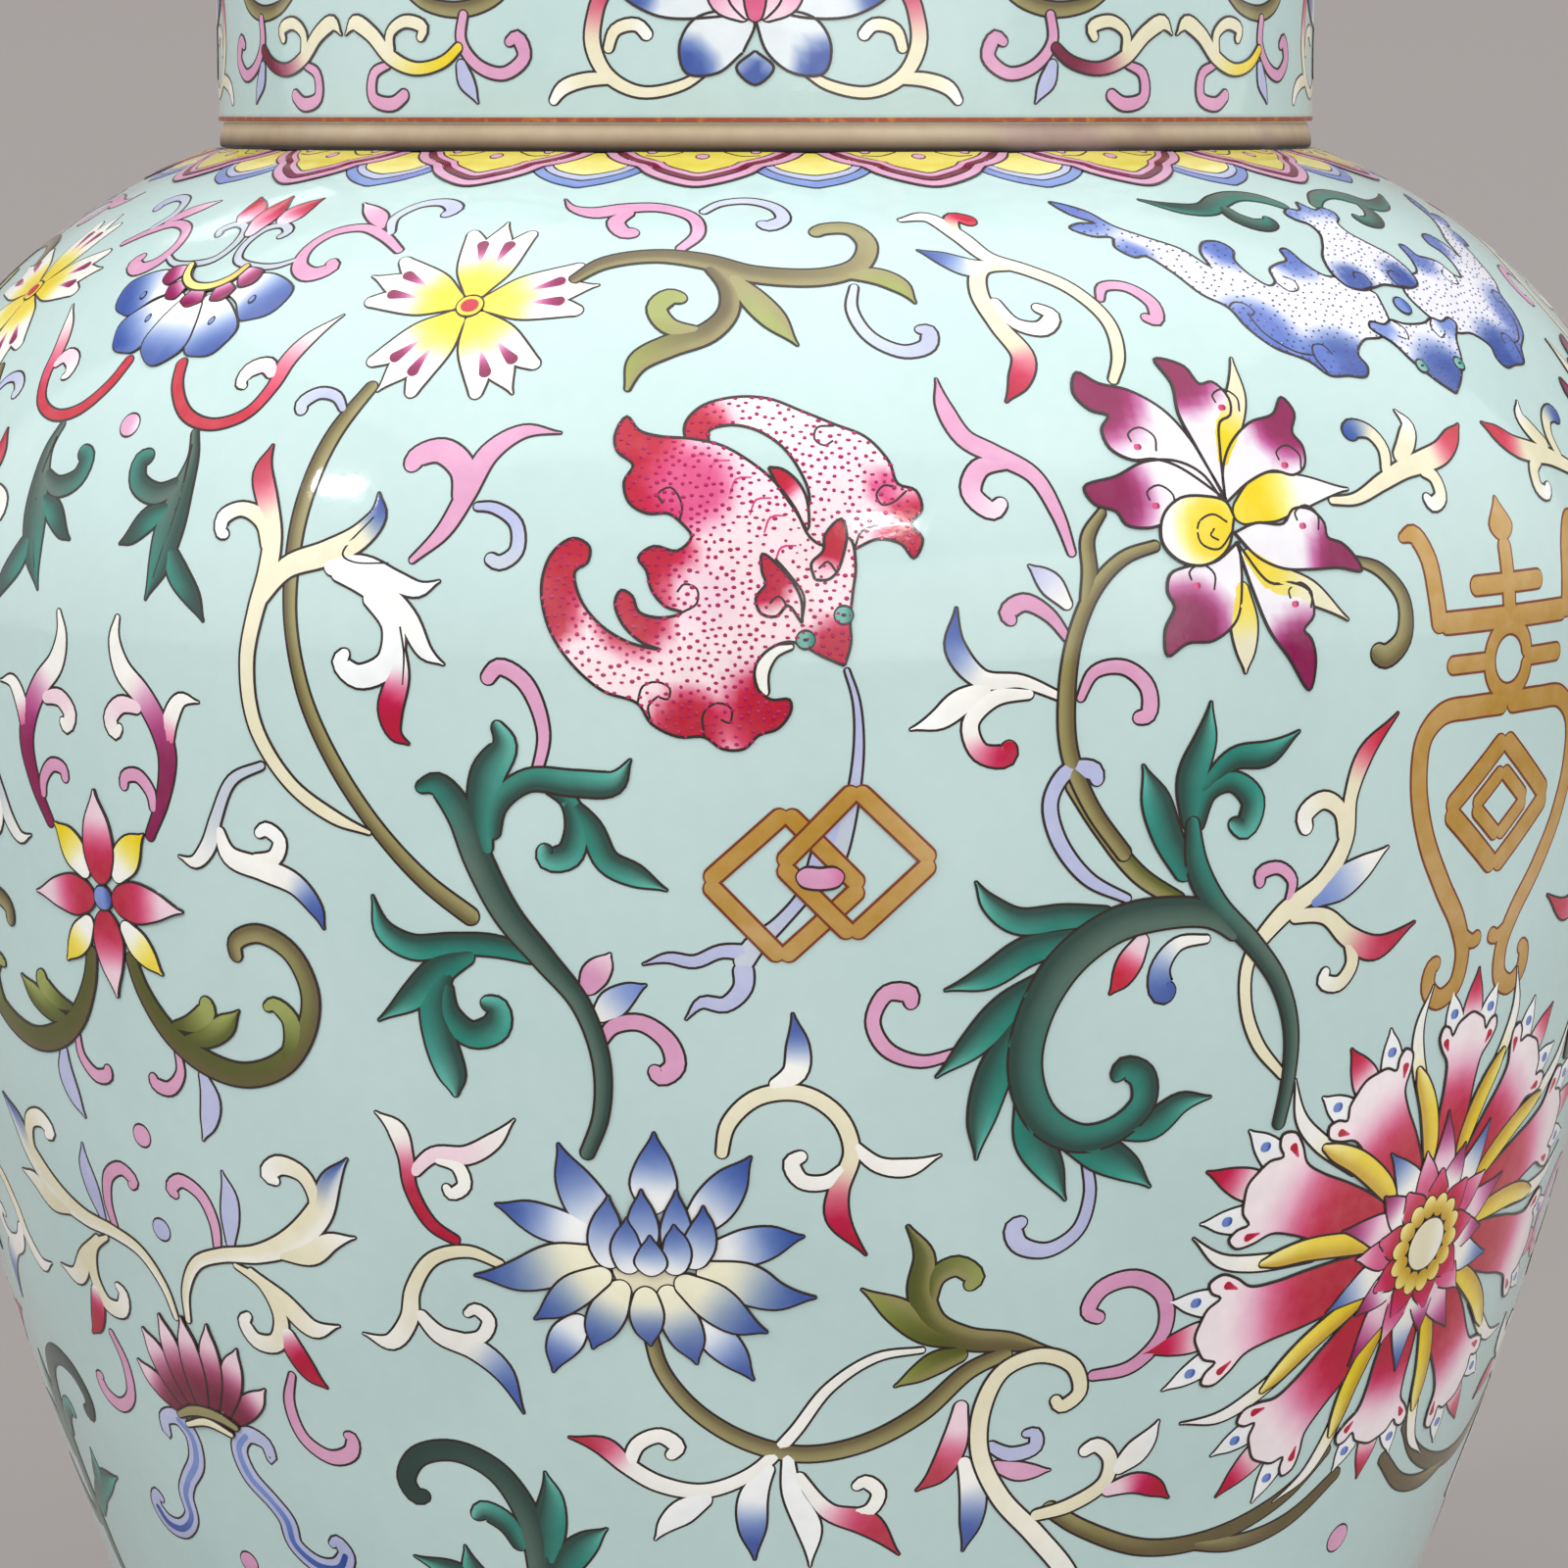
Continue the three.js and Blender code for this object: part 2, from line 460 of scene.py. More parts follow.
LINE_WIDTH = 0.0006
LINE_PROUD = 0.00006


def gilding(name, worn):
    """Thin gold over an iron-red ground that shows where the gold is rubbed or ends."""
    material, tree, shader = shaded(name)
    shader.inputs["Roughness"].default_value = 0.38
    speckle = noise(tree, 700, 5)
    low, high = worn - 0.08, worn + 0.1
    tree.links.new(ramp(tree, speckle, (low, linear(146, 66, 28)), (high, linear(196, 130, 62))),
                   shader.inputs["Base Color"])
    tree.links.new(spread(tree, speckle, low, high, 0.1, 0.65), shader.inputs["Metallic"])
    return material


line_low = lip_top + 0.0001
gilt_line_profile = [
    (LID_RADIUS - 0.0009, line_low),
    (LID_RADIUS + LINE_PROUD, line_low + 0.0001),
    (LID_RADIUS + LINE_PROUD, line_low + LINE_WIDTH),
    (LID_RADIUS - 0.0009, line_low + LINE_WIDTH + 0.0001),
    (LID_RADIUS - 0.0009, line_low),
]
gilt_line = thrown("gilt_line", gilt_line_profile)
gilt_line.data.materials.append(gilding("rubbed_gilding", 0.60))
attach(gilt_line, "lid")

# Lappet band: a collar of painted cloud-shaped lappets that hangs from the lid's seat, with pointed ones
# behind. Like all the painting it is an ink outline filled with thick glossy enamel, fired on and standing
# a little proud.
INK_WIDTH = 0.17           # millimetres, as are the sizes that follow
INK_OVERLAP = 0.13
FINE_LINE = 0.13
INK_PROUD = 0.03
ENAMEL_PROUD = 0.02
ENAMEL_SWELL = 0.035
COAT_STEP = 0.06
BRUSH_STEP = 0.9
ROOTED = -0.06
SHAPE_STEP = 1.3

INK = linear(46, 34, 30)
CREAM = linear(232, 226, 196)
IVORY = linear(244, 244, 238)
WHITE = linear(244, 247, 248)
LEMON = linear(242, 230, 146)
YELLOW = linear(234, 208, 50)
AMBER = linear(196, 156, 50)
GOLD = linear(192, 152, 84)
RUST = linear(120, 52, 24)
RED = linear(190, 10, 50)
CRIMSON = linear(178, 8, 56)
ROSE = linear(212, 84, 132)
PINK = linear(216, 158, 192)
BLUSH = linear(240, 212, 224)
MAUVE = linear(132, 22, 78)
WINE = linear(112, 8, 52)
BLUE = linear(58, 84, 158)
SKY = linear(116, 140, 204)
LAVENDER = linear(182, 188, 222)
GREY = linear(192, 202, 214)
OLIVE = linear(150, 142, 94)
BROWN = linear(98, 86, 54)
LIME = linear(150, 160, 86)
MOSS = linear(80, 86, 30)
TEAL = linear(40, 126, 112)
BOTTLE = linear(38, 62, 56)
SMOKE = linear(84, 108, 98)
JADE = linear(104, 186, 172)


def arc_lengths(line):
    """Distance run along a line at each of its points."""
    return np.concatenate([[0], np.cumsum(np.linalg.norm(np.diff(line, axis=0), axis=1))])


class Wall:
    """An outer face of revolution, read by degrees round from the front and millimetres up from a datum."""

    def __init__(self, line, datum):
        self.line = line
        self.out = outward(line)
        self.run = (arc_lengths(line) - datum) * 1000

    def radius(self, up):
        """Distance from the axis, in millimetres, at a height along the wall."""
        return np.interp(up, self.run, self.line[:, 0]) * 1000

    def at(self, degrees, up, proud):
        """Points of the jar, in metres, that stand proud of the wall by so many millimetres."""
        radius, height, out_r, out_z = (
            np.interp(up, self.run, column)
            for column in (self.line[:, 0], self.line[:, 1], self.out[:, 0], self.out[:, 1])
        )
        radius = radius + out_r * proud / 1000
        turn = np.radians(degrees)
        height = height + out_z * proud / 1000
        return np.column_stack([radius * np.sin(turn), -radius * np.cos(turn), height])


jar_wall = Wall(outer_wall, arc_lengths(outer_wall)[len(lower_wall) - 1])
lid_side_line = np.vstack([[(LID_RADIUS, LID_BOTTOM)], crown])
lid_wall = Wall(lid_side_line, 0)


def smooth_path(points):
    """A path of (x, y, half width) through given points, sampled every short step."""
    points = np.array(points, float)
    padded = np.vstack([2 * points[0] - points[1], points, 2 * points[-1] - points[-2]])
    padded[[0, -1], 2] = points[[0, -1], 2]
    pieces = []
    for p0, p1, p2, p3 in zip(padded, padded[1:], padded[2:], padded[3:]):
        count = max(3, int(math.ceil(np.linalg.norm((p2 - p1)[:2]) / BRUSH_STEP)) + 1)
        knots = [max(np.linalg.norm((b - a)[:2]), 1e-3) ** 0.5 for a, b in ((p0, p1), (p1, p2), (p2, p3))]
        slope1 = (p1 - p0) / knots[0] - (p2 - p0) / (knots[0] + knots[1]) + (p2 - p1) / knots[1]
        slope2 = (p2 - p1) / knots[1] - (p3 - p1) / (knots[1] + knots[2]) + (p3 - p2) / knots[2]
        slope1, slope2 = slope1 * knots[1], slope2 * knots[1]
        t = (np.arange(count) / count)[:, None]
        pieces.append(
            (2 * t**3 - 3 * t**2 + 1) * p1 + (t**3 - 2 * t**2 + t) * slope1
            + (3 * t**2 - 2 * t**3) * p2 + (t**3 - t**2) * slope2
        )
    path = np.vstack(pieces + [points[-1:]])
    path[:, 2] = path[:, 2].clip(0.04)
    return path


def band(points, grow):
    """Centres, side directions, half widths and run of a brush stroke with round ends, widened by grow."""
    path = smooth_path(points)
    run = arc_lengths(path[:, :2])
    path[:, 2] = (path[:, 2] + grow).clip(0.03)
    first, last = path[0, 2], path[-1, 2]
    low, high = -max(grow, 0), run[-1] + max(grow, 0)
    cap = np.array([0.0, 0.03, 0.13, 0.3, 0.55, 0.8])
    stops = np.concatenate([low + cap * first, run, high - cap * last])
    stops = np.unique(stops[(stops >= low) & (stops <= high)].round(4))
    stops = stops[np.concatenate([[True], np.diff(stops) > 0.02])]
    moved = np.concatenate([[True], np.diff(run) > 1e-5])
    path, run = path[moved], run[moved]
    along = np.gradient(path[:, :2], run, axis=0)
    along /= np.linalg.norm(along, axis=1)[:, None]
    centre = np.column_stack([np.interp(stops, run, path[:, k]) for k in (0, 1)])
    way = np.column_stack([np.interp(stops, run, along[:, k]) for k in (0, 1)])
    way /= np.linalg.norm(way, axis=1)[:, None]
    centre += way * np.where(stops < 0, stops, np.where(stops > run[-1], stops - run[-1], 0))[:, None]
    half = np.interp(stops, run, path[:, 2])
    for inward, cap_length in ((stops - low, first), (high - stops, last)):
        half = half * np.sqrt(np.clip(1 - (1 - np.clip(inward / cap_length, 0, 1)) ** 2, 0.0004, 1))
    side = np.column_stack([-way[:, 1], way[:, 0]])
    return centre, side, half, np.clip(stops / run[-1], 0, 1)


def eased(low, high, value):
    """Smooth change from 0 to 1 as a value goes from low to high."""
    t = np.clip((value - low) / (high - low), 0, 1)
    return t * t * (3 - 2 * t)


def blended(first, second, share):
    """Enamels thinned over one another: the mixture is richer than halfway between the two."""
    first, second = (np.log(np.clip(np.array(tint, float), 0.008, 1)) for tint in (first, second))
    return np.exp(first * (1 - share) + second * share)


def within(spots, rim):
    """Which spots lie inside a closed outline."""
    x, y = spots[:, 0][:, None], spots[:, 1][:, None]
    x0, y0 = rim[:, 0][None], rim[:, 1][None]
    x1, y1 = np.roll(rim[:, 0], -1)[None], np.roll(rim[:, 1], -1)[None]
    spans = (y0 > y) != (y1 > y)
    with np.errstate(divide="ignore", invalid="ignore"):
        left = x < (x1 - x0) * (y - y0) / (y1 - y0) + x0
    return (spans & left).sum(axis=1) % 2 == 1


class Painting:
    """Strokes, lines and shapes, kept as closed solids until they are laid on a wall.

    Their points are in tenths of a millimetre, x to the right and y up, and a third value is half the
    width there. A panel is in millimetres.
    """

    def __init__(self, ink=INK_WIDTH, ink_colour=INK, brush=1.0):
        self.brush = brush
        self.ink = ink
        self.ink_colour = ink_colour
        self.points, self.tints, self.glossy, self.faces = [], [], [], []
        self.count = 0
        self.coat = 0
        self.pending = []

    def solid(self, ring, lifts, tints, glossy):
        """Skins a run of rings, each a closed loop of points, with a face at each end."""
        steps, around = ring.shape[:2]
        self.points.append(np.concatenate([ring, lifts[..., None]], axis=2).reshape(-1, 3))
        self.tints.append(tints.reshape(-1, 3))
        self.glossy.append(np.full(steps * around, glossy))
        start = self.count
        for i in range(steps - 1):
            a, b = start + i * around, start + (i + 1) * around
            nexts = [(k, (k + 1) % around) for k in range(around)]
            self.faces += [(a + k, a + n, b + n, b + k) for k, n in nexts]
        self.faces.append(tuple(range(start + around - 1, start - 1, -1)))
        last = start + (steps - 1) * around
        self.faces.append(tuple(range(last, last + around)))
        self.count += steps * around

    def cast(self, points, grow, across, lifts, colour_of, glossy):
        """Makes one band: across lists the section's places from the left edge to the right and back."""
        centre, side, half, share = band(points, grow)
        across = np.array(across)
        ring = centre[:, None] + side[:, None] * (half[:, None] * across)[..., None]
        swell = lifts(across[None, :], half[:, None])
        self.solid(ring, swell, colour_of(share[:, None], across[None, :]), glossy)

    def outline(self, points, base):
        """The ink laid under a stroke, so that it shows as a line all round."""
        edge = [1, -1, -1, 1]
        top = np.array([1, 1, 0, 0])

        def lifts(across, half):
            return np.where(top, base + INK_PROUD, ROOTED) + half * 0

        def colour(share, across):
            return np.broadcast_to(np.array(self.ink_colour), (share.shape[0], 4, 3))

        self.cast(points, self.ink, edge, lifts, colour, 0.0)

    def fill(self, points, base, start, end, fade, shade, lit):
        """The enamel of a stroke, swelling towards its middle."""
        section = [1, 0.6, 0, -0.6, -1, -1, 1]
        top = np.array([1, 1, 1, 1, 1, 0, 0])
        begin, finish, dark = (np.array(c) for c in (start, end, shade or start))

        def lifts(across, half):
            swell = ENAMEL_SWELL * (1 - across**2) * np.clip(half / 1.4, 0.1, 1)
            return np.where(top, base + INK_PROUD + ENAMEL_PROUD + swell, ROOTED)

        def colour(share, across):
            tint = blended(begin, finish, eased(fade[0], fade[1], share + 0 * across)[..., None])
            if shade:
                tint = blended(tint, dark, eased(-0.45, 0.8, across * lit)[..., None] * 0.85)
            return tint

        self.cast(points, -INK_OVERLAP, section, lifts, colour, 1.0)

    def panel(self, lefts, rights, start, end=None, steps=44, rise=0.0, inked=False):
        """Adds a filled shape between two lines that run the same way, in the coat being painted."""
        sides = []
        for line in (lefts, rights):
            path = smooth_path([(x, y, 0.1) for x, y in line])[:, :2]
            run = arc_lengths(path)
            stops = np.linspace(0, run[-1], steps)
            sides.append(np.column_stack([np.interp(stops, run, path[:, k]) for k in (0, 1)]))
        across = np.array([0, 0.25, 0.5, 0.75, 1, 1, 0])[None, :, None]
        ring = sides[0][:, None] * (1 - across) + sides[1][:, None] * across
        base = self.coat * COAT_STEP + INK_PROUD
        proud = base if inked else base + ENAMEL_PROUD + rise
        lifts = np.where(np.array([1, 1, 1, 1, 1, 0, 0]), proud, ROOTED) + ring[..., 0] * 0
        mix = eased(0, 1, across[0]) + ring[..., :1] * 0
        tint = np.array(start) * (1 - mix) + np.array(end or start) * mix
        self.solid(ring, lifts, tint, 0.0 if inked else 1.0)
        return self

    def stroke(self, points, start, end=None, fade=(0.35, 0.95), shade=None, lit=1):
        """Adds a stroke to the coat being painted. lit is 1 or -1: the side that the shade falls on."""
        points = [(x / 10, y / 10, half / 10 * self.brush) for x, y, half in points]
        self.pending.append((points, start, end or start, fade, shade, lit))
        return self

    def both(self, points, *colours, lit=1, **kind):
        """A stroke and its mirror image."""
        self.stroke(points, *colours, lit=lit, **kind)
        return self.stroke([(-x, *rest) for x, *rest in points], *colours, lit=-lit, **kind)

    def dot(self, x, y, radius, colour, rim=None):
        """A round spot."""
        reach = [(x - radius * 0.98, y, radius), (x, y, radius), (x + radius * 0.98, y, radius)]
        return self.stroke(reach, colour, rim, fade=(0.5, 1.0))

    def dry(self, outlined=True):
        """Ends a coat: strokes painted together share one outline, and the next coat lies over them."""
        base = self.coat * COAT_STEP
        for points, *_ in self.pending if outlined else []:
            self.outline(points, base)
        for nth, (points, start, end, fade, shade, lit) in enumerate(self.pending):
            self.fill(points, base + 0.0015 * nth, start, end, fade, shade, lit)
        self.pending = []
        self.coat += 1
        return self

    def afresh(self):
        """Goes back to the bare glaze, for strokes that touch nothing painted so far."""
        if self.pending:
            self.dry()
        self.coat = 0
        return self

    def ink_line(self, *lines, colour=None):
        """Fine lines, such as veins and curls, over the coat that is dry."""
        base = max(self.coat - 1, 0) * COAT_STEP + ENAMEL_SWELL + ENAMEL_PROUD

        def lifts(across, half):
            return np.where(np.array([1, 1, 0, 0]), base + INK_PROUD, ROOTED) + half * 0

        def tint(share, across):
            return np.broadcast_to(np.array(colour or self.ink_colour), (share.shape[0], 4, 3))

        for points in lines:
            line = [(p[0] / 10, p[1] / 10, p[2] / 10 if len(p) > 2 else FINE_LINE) for p in points]
            self.cast(line, 0, [1, -1, -1, 1], lifts, tint, 0)
        return self

    def shape(self, edge, colour, *washes, inked=True):
        """Adds a filled outline as a coat. Each wash is (x, y, reach, colour), soft towards its rim."""
        base = self.coat * COAT_STEP + INK_PROUD + ENAMEL_PROUD
        closed = [(x, y, 10 * INK_WIDTH) for x, y in list(edge) + [edge[0]]]
        rim = smooth_path(np.array(closed) / 10)[:-1, :2]
        rim = rim[np.concatenate([[True], np.linalg.norm(np.diff(rim, axis=0), axis=1) > 0.02])]
        (x0, y0), (x1, y1) = rim.min(axis=0), rim.max(axis=0)
        spots = np.mgrid[x0:x1:SHAPE_STEP, y0:y1:SHAPE_STEP]
        spots = spots.reshape(2, -1).T
        near = np.linalg.norm(spots[:, None] - rim[None], axis=2).min(axis=1)
        places = np.vstack([rim, spots[(near > 0.6 * SHAPE_STEP) & within(spots, rim)]])
        ring = [(i, (i + 1) % len(rim)) for i in range(len(rim))]
        cut = delaunay_2d_cdt([Vector(p) for p in places], ring, [], 0, 1e-4, False)
        flat = np.array([tuple(p) for p in cut[0]])
        middles = np.array([flat[list(face)].mean(axis=0) for face in cut[2]])
        kept = [face for face, inner in zip(cut[2], within(middles, rim)) if inner]
        inside = eased(0, 2.5, np.linalg.norm(flat[:, None] - rim[None], axis=2).min(axis=1))
        tint = np.tile(np.array(colour, float), (len(flat), 1))
        for x, y, reach, wash in washes:
            weight = 1 - eased(0.4, 1, np.hypot(flat[:, 0] - x / 10, flat[:, 1] - y / 10) / (reach / 10))
            tint = blended(tint, wash, weight[:, None])
        count, start = len(flat), self.count
        self.points.append(np.column_stack([flat, base + ENAMEL_SWELL * inside]))
        self.points.append(np.column_stack([flat, np.full(count, ROOTED)]))
        self.tints += [tint, tint]
        self.glossy += [np.ones(count), np.zeros(count)]
        sides = set()
        for face in kept:
            a, b, c = (flat[v] for v in face[:3])
            if (b[0] - a[0]) * (c[1] - a[1]) < (b[1] - a[1]) * (c[0] - a[0]):
                face = face[::-1]
            self.faces.append(tuple(start + v for v in face))
            self.faces.append(tuple(start + count + v for v in face[::-1]))
            sides |= {(v, w) for v, w in zip(face, list(face[1:]) + [face[0]])}
        for v, w in sorted(side for side in sides if side[::-1] not in sides):
            self.faces.append((start + w, start + v, start + count + v, start + count + w))
        self.count += 2 * count
        if inked:
            self.coat += 1
            self.ink_line(closed)
            self.coat -= 1
        self.coat += 1
        return self

    def lay(self, name, wall, degrees, up, body, turn=0.0, flip=False, finish=None, pole=False):
        """Lays the painting on a wall as one object, centred at degrees round and millimetres up."""
        if self.pending:
            self.dry()
        local = np.vstack(self.points)
        x, y, proud = local[:, 0] * (-1 if flip else 1), local[:, 1], local[:, 2]
        angle = math.radians(turn)
        x, y = x * math.cos(angle) - y * math.sin(angle), x * math.sin(angle) + y * math.cos(angle)
        if pole:
            around = np.degrees(np.arctan2(x, -y)) + degrees
            placed = wall.at(around, wall.run[-1] - np.hypot(x, y), proud)
        else:
            placed = wall.at(degrees + np.degrees(x / wall.radius(up + y)), up + y, proud)
        faces = [face[::-1] for face in self.faces] if flip else self.faces
        made = new_mesh_object(name, placed.tolist(), faces)
        tints = np.vstack(self.tints)
        colours = made.data.attributes.new("tint", "FLOAT_COLOR", "POINT")
        colours.data.foreach_set("color", np.column_stack([tints, np.ones(len(tints))]).ravel())
        gloss = made.data.attributes.new("glossy", "FLOAT", "POINT")
        gloss.data.foreach_set("value", np.concatenate(self.glossy))
        made.data.shade_smooth()
        made.data.set_sharp_from_angle(angle=math.radians(38))
        made.data.materials.append(finish or enamel)
        if body:
            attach(made, body)
        return made


# Where the columns stand, in degrees round from the front: the hanging flowers, then the medallions.
PENDANT_AXIS = -42.7
MEDALLION_AXIS = 49.0
FAR_PENDANT = 2 * MEDALLION_AXIS - PENDANT_AXIS
FAR_MEDALLION = 2 * PENDANT_AXIS - MEDALLION_AXIS
BACK_SHARE = (FAR_MEDALLION + 360 - FAR_PENDANT) / (MEDALLION_AXIS - PENDANT_AXIS)


def copies(degrees):
    """Where a motif of the open field lies: mirrored at each column, and once more at the back."""
    return [
        (degrees, False),
        (2 * MEDALLION_AXIS - degrees, True),
        (2 * PENDANT_AXIS - degrees, True),
        (FAR_PENDANT + (degrees - PENDANT_AXIS) * BACK_SHARE, False),
    ]


def lay_round(painting, name, degrees, up, turn=0.0, finish=None):
    """Lays all four copies of a motif of the open field."""
    for nth, (where, flip) in enumerate(copies(degrees)):
        painting.lay(f"{name}_{nth + 1}", jar_wall, where, up, "jar", -turn if flip else turn, flip, finish)


def lay_column(painting, name, axis, up, finish=None):
    """Lays a motif of a column at the front and again on the far side."""
    far = FAR_PENDANT if axis == PENDANT_AXIS else FAR_MEDALLION
    for nth, where in enumerate((axis, far)):
        painting.lay(f"{name}_{nth + 1}", jar_wall, where, up, "jar", finish=finish)


enamel = glazed("painted_enamel", WHITE, clouding=0.09, roughness=0.11, dimple=0.0003, attribute="tint")

LAPPETS = 18
LAPPET_TIP = 66.2          # millimetres up from the belly line
LAPPET_TOP = 9.8           # from the tip up to the lid's seat
FIRST_LAPPET = -5.8        # degrees round from the front


def cloud_edge(inset):
    """A cloud-shaped edge from left to right through its tip, drawn a little way inside the outer edge."""
    half = [(0, 1.03 * inset), (3.2 - 0.5 * inset, 1.2 + 0.9 * inset),
        (6.1 - 0.8 * inset, 3.4 + 0.6 * inset), (7.3 - 0.95 * inset, 5.3 + 0.35 * inset),
        (7.3 - 0.95 * inset, 5.3 + 0.35 * inset), (9.4 - 0.7 * inset, 6.4 + 0.62 * inset),
        (11 - 0.9 * inset, 8.2 + 0.5 * inset), (11.7 - inset, LAPPET_TOP + 0.4)]
    return [(-x, y) for x, y in half[:0:-1]] + half


def spear_edge(inset):
    """The edge of a pointed lappet, from left to right through its tip."""
    half = [(0, 1.15 * inset - 0.2), (0, 1.15 * inset - 0.2), (3.6 - 0.6 * inset, 1.3 + 0.8 * inset),
        (6.6 - 0.9 * inset, 4.2 + 0.3 * inset), (8 - inset, LAPPET_TOP + 0.4)]
    return [(-x, y) for x, y in half[:0:-1]] + half


def seat_line(edge):
    """The straight top of a lappet, tucked against the lid's seat."""
    return [(x, LAPPET_TOP + 0.35) for x, y in edge]


def layered(painting, edge, bands):
    """Fills nested shapes from the outer edge inwards, each one a coat over the last."""
    for inset, start, end, inked in bands:
        painting.panel(seat_line(edge(inset)), edge(inset), start, end, inked=inked)
        painting.coat += 0.35


STRAW = linear(222, 208, 92)
spear = Painting()
layered(spear, spear_edge, [(-0.25, INK, None, True), (0, LAVENDER, SKY, False), (1.3, INK, None, True),
    (1.55, WHITE, LAVENDER, False), (2.5, INK, None, True), (2.75, STRAW, LEMON, False)])
cloud = Painting()
cloud.coat = 2.5
layered(cloud, cloud_edge, [(-0.3, INK, None, True), (0, PINK, None, False), (1.1, INK, None, True),
    (1.3, WINE, None, False), (2.2, PINK, None, False), (2.9, INK, None, True),
    (3.15, STRAW, None, False)])
cloud.coat += 0.2
cloud.stroke([(-7, 81, 8), (7, 81, 8)], PINK).dry()
cloud.coat -= 1
for side in (-1, 1):
    (cloud
     .ink_line([(side * 24, 96), (side * 46, 82), (side * 68, 84)])
     .stroke([(side * 56, 96, 7), (side * 66, 99, 7)], PINK))


def repeated_round(pieces, name, copies, finish):
    """Geometry Nodes: sets copies of a few pieces evenly round the jar's axis, as one plain mesh."""
    tree = bpy.data.node_groups.new(name + "_round", "GeometryNodeTree")
    tree.interface.new_socket("Geometry", in_out="OUTPUT", socket_type="NodeSocketGeometry")
    count = tree.interface.new_socket("Copies", in_out="INPUT", socket_type="NodeSocketInt")
    step = tree.interface.new_socket("Turn", in_out="INPUT", socket_type="NodeSocketFloat")
    given = add(tree, "NodeGroupInput").outputs
    posts = add(tree, "GeometryNodeMeshLine", {"Offset": (0, 0, 0), "Count": given["Copies"]})
    number = add(tree, "GeometryNodeInputIndex").outputs["Index"]
    turn = add(tree, "ShaderNodeCombineXYZ", {"Z": maths(tree, "MULTIPLY", number, given["Turn"])})
    join = add(tree, "GeometryNodeJoinGeometry")
    for piece in pieces:
        source = add(tree, "GeometryNodeObjectInfo", {"Object": piece}).outputs["Geometry"]
        tree.links.new(source, join.inputs["Geometry"])
    set_round = add(tree, "GeometryNodeInstanceOnPoints", {"Points": posts.outputs["Mesh"],
        "Instance": join.outputs["Geometry"], "Rotation": turn.outputs["Vector"]})
    made_real(tree, set_round, finish)
    holder = new_mesh_object(name + "_holder", [], [])
    modifier = holder.modifiers.new("round", "NODES")
    modifier.node_group = tree
    modifier[count.identifier] = copies
    modifier[step.identifier] = 2 * math.pi / copies
    made = plain_mesh(holder, name)
    for piece in pieces:
        bpy.data.objects.remove(piece)
    return made


def made_real(tree, instances, finish):
    """Ends a tree: its instances become real geometry in one finish."""
    real = add(tree, "GeometryNodeRealizeInstances", {"Geometry": instances.outputs["Instances"]})
    finished = add(tree, "GeometryNodeSetMaterial", {"Geometry": real.outputs["Geometry"],
        "Material": finish})
    add(tree, "NodeGroupOutput", {"Geometry": finished.outputs["Geometry"]})


def plain_mesh(holder, name):
    """The result of a holder's Geometry Nodes as an object of plain mesh; the holder is then removed."""
    bpy.context.view_layer.update()
    evaluated = holder.evaluated_get(bpy.context.evaluated_depsgraph_get())
    mesh = bpy.data.meshes.new_from_object(evaluated)
    mesh.name = name
    bpy.data.objects.remove(holder)
    made = bpy.data.objects.new(name, mesh)
    bpy.context.collection.objects.link(made)
    return made


def loose(painting, name, wall, degrees, up):
    """Lays a painting as a bare object that a repeat will copy."""
    return painting.lay(name, wall, degrees, up, None)


lappet_parts = [loose(spear, "lappet_spear", jar_wall, FIRST_LAPPET + 180 / LAPPETS, LAPPET_TIP),
    loose(cloud, "lappet_cloud", jar_wall, FIRST_LAPPET, LAPPET_TIP)]
lappet_band = repeated_round(lappet_parts, "lappet_band", LAPPETS, enamel)
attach(lappet_band, "jar")

# Hanging flower column: a blue and mauve flower hung from a U of scrolls under red petals, with two red
# stems that end in dark green sprays. Both halves are alike: each is painted once, and once more mirrored.
hanging = Painting()
(hanging
 .both([(34, 150, 12), (37, 172, 20), (46, 192, 13), (56, 209, 1)], BLUSH, CRIMSON, fade=(0.1, 0.8))
 .dry()
 .stroke([(0, 125, 8), (-1, 160, 19), (0, 186, 15), (1, 212, 1)], BLUSH, CRIMSON, fade=(0.1, 0.85))
 .dry()
 .afresh()
 .both([(52, 124, 5), (59, 136, 7), (42, 149, 6), (19, 142, 6), (9, 112, 6), (20, 83, 6), (56, 72, 5.5),
     (90, 73, 5), (116, 86, 4)], GREY)
 .both([(164, 86, 6), (174, 72, 11), (154, 60, 12), (126, 74, 10), (116, 106, 8), (130, 136, 8),
     (166, 147, 7.5), (205, 132, 7), (250, 102, 5)], PINK)
 .both([(194, 146, 4), (174, 166, 11.5), (148, 184, 9), (126, 199, 1)], PINK, BLUSH)
 .both([(214, 134, 5), (195, 168, 7), (210, 197, 7.5), (240, 202, 8), (262, 186, 10), (256, 172, 8)],
     GREY, LAVENDER)
 .dry()
 .both([(45, 40, 15), (90, 32, 29), (124, 8, 35), (136, -4, 26)], WHITE, BLUE, fade=(0.25, 0.9))
 .dry()
 .both([(22, 20, 16), (50, -16, 31), (74, -48, 35), (86, -66, 20)], WHITE, BLUE, fade=(0.3, 1))
 .dry()
 .stroke([(0, 20, 18), (0, -24, 33), (0, -56, 38), (0, -86, 22)], WHITE, BLUE, fade=(0.3, 1)))
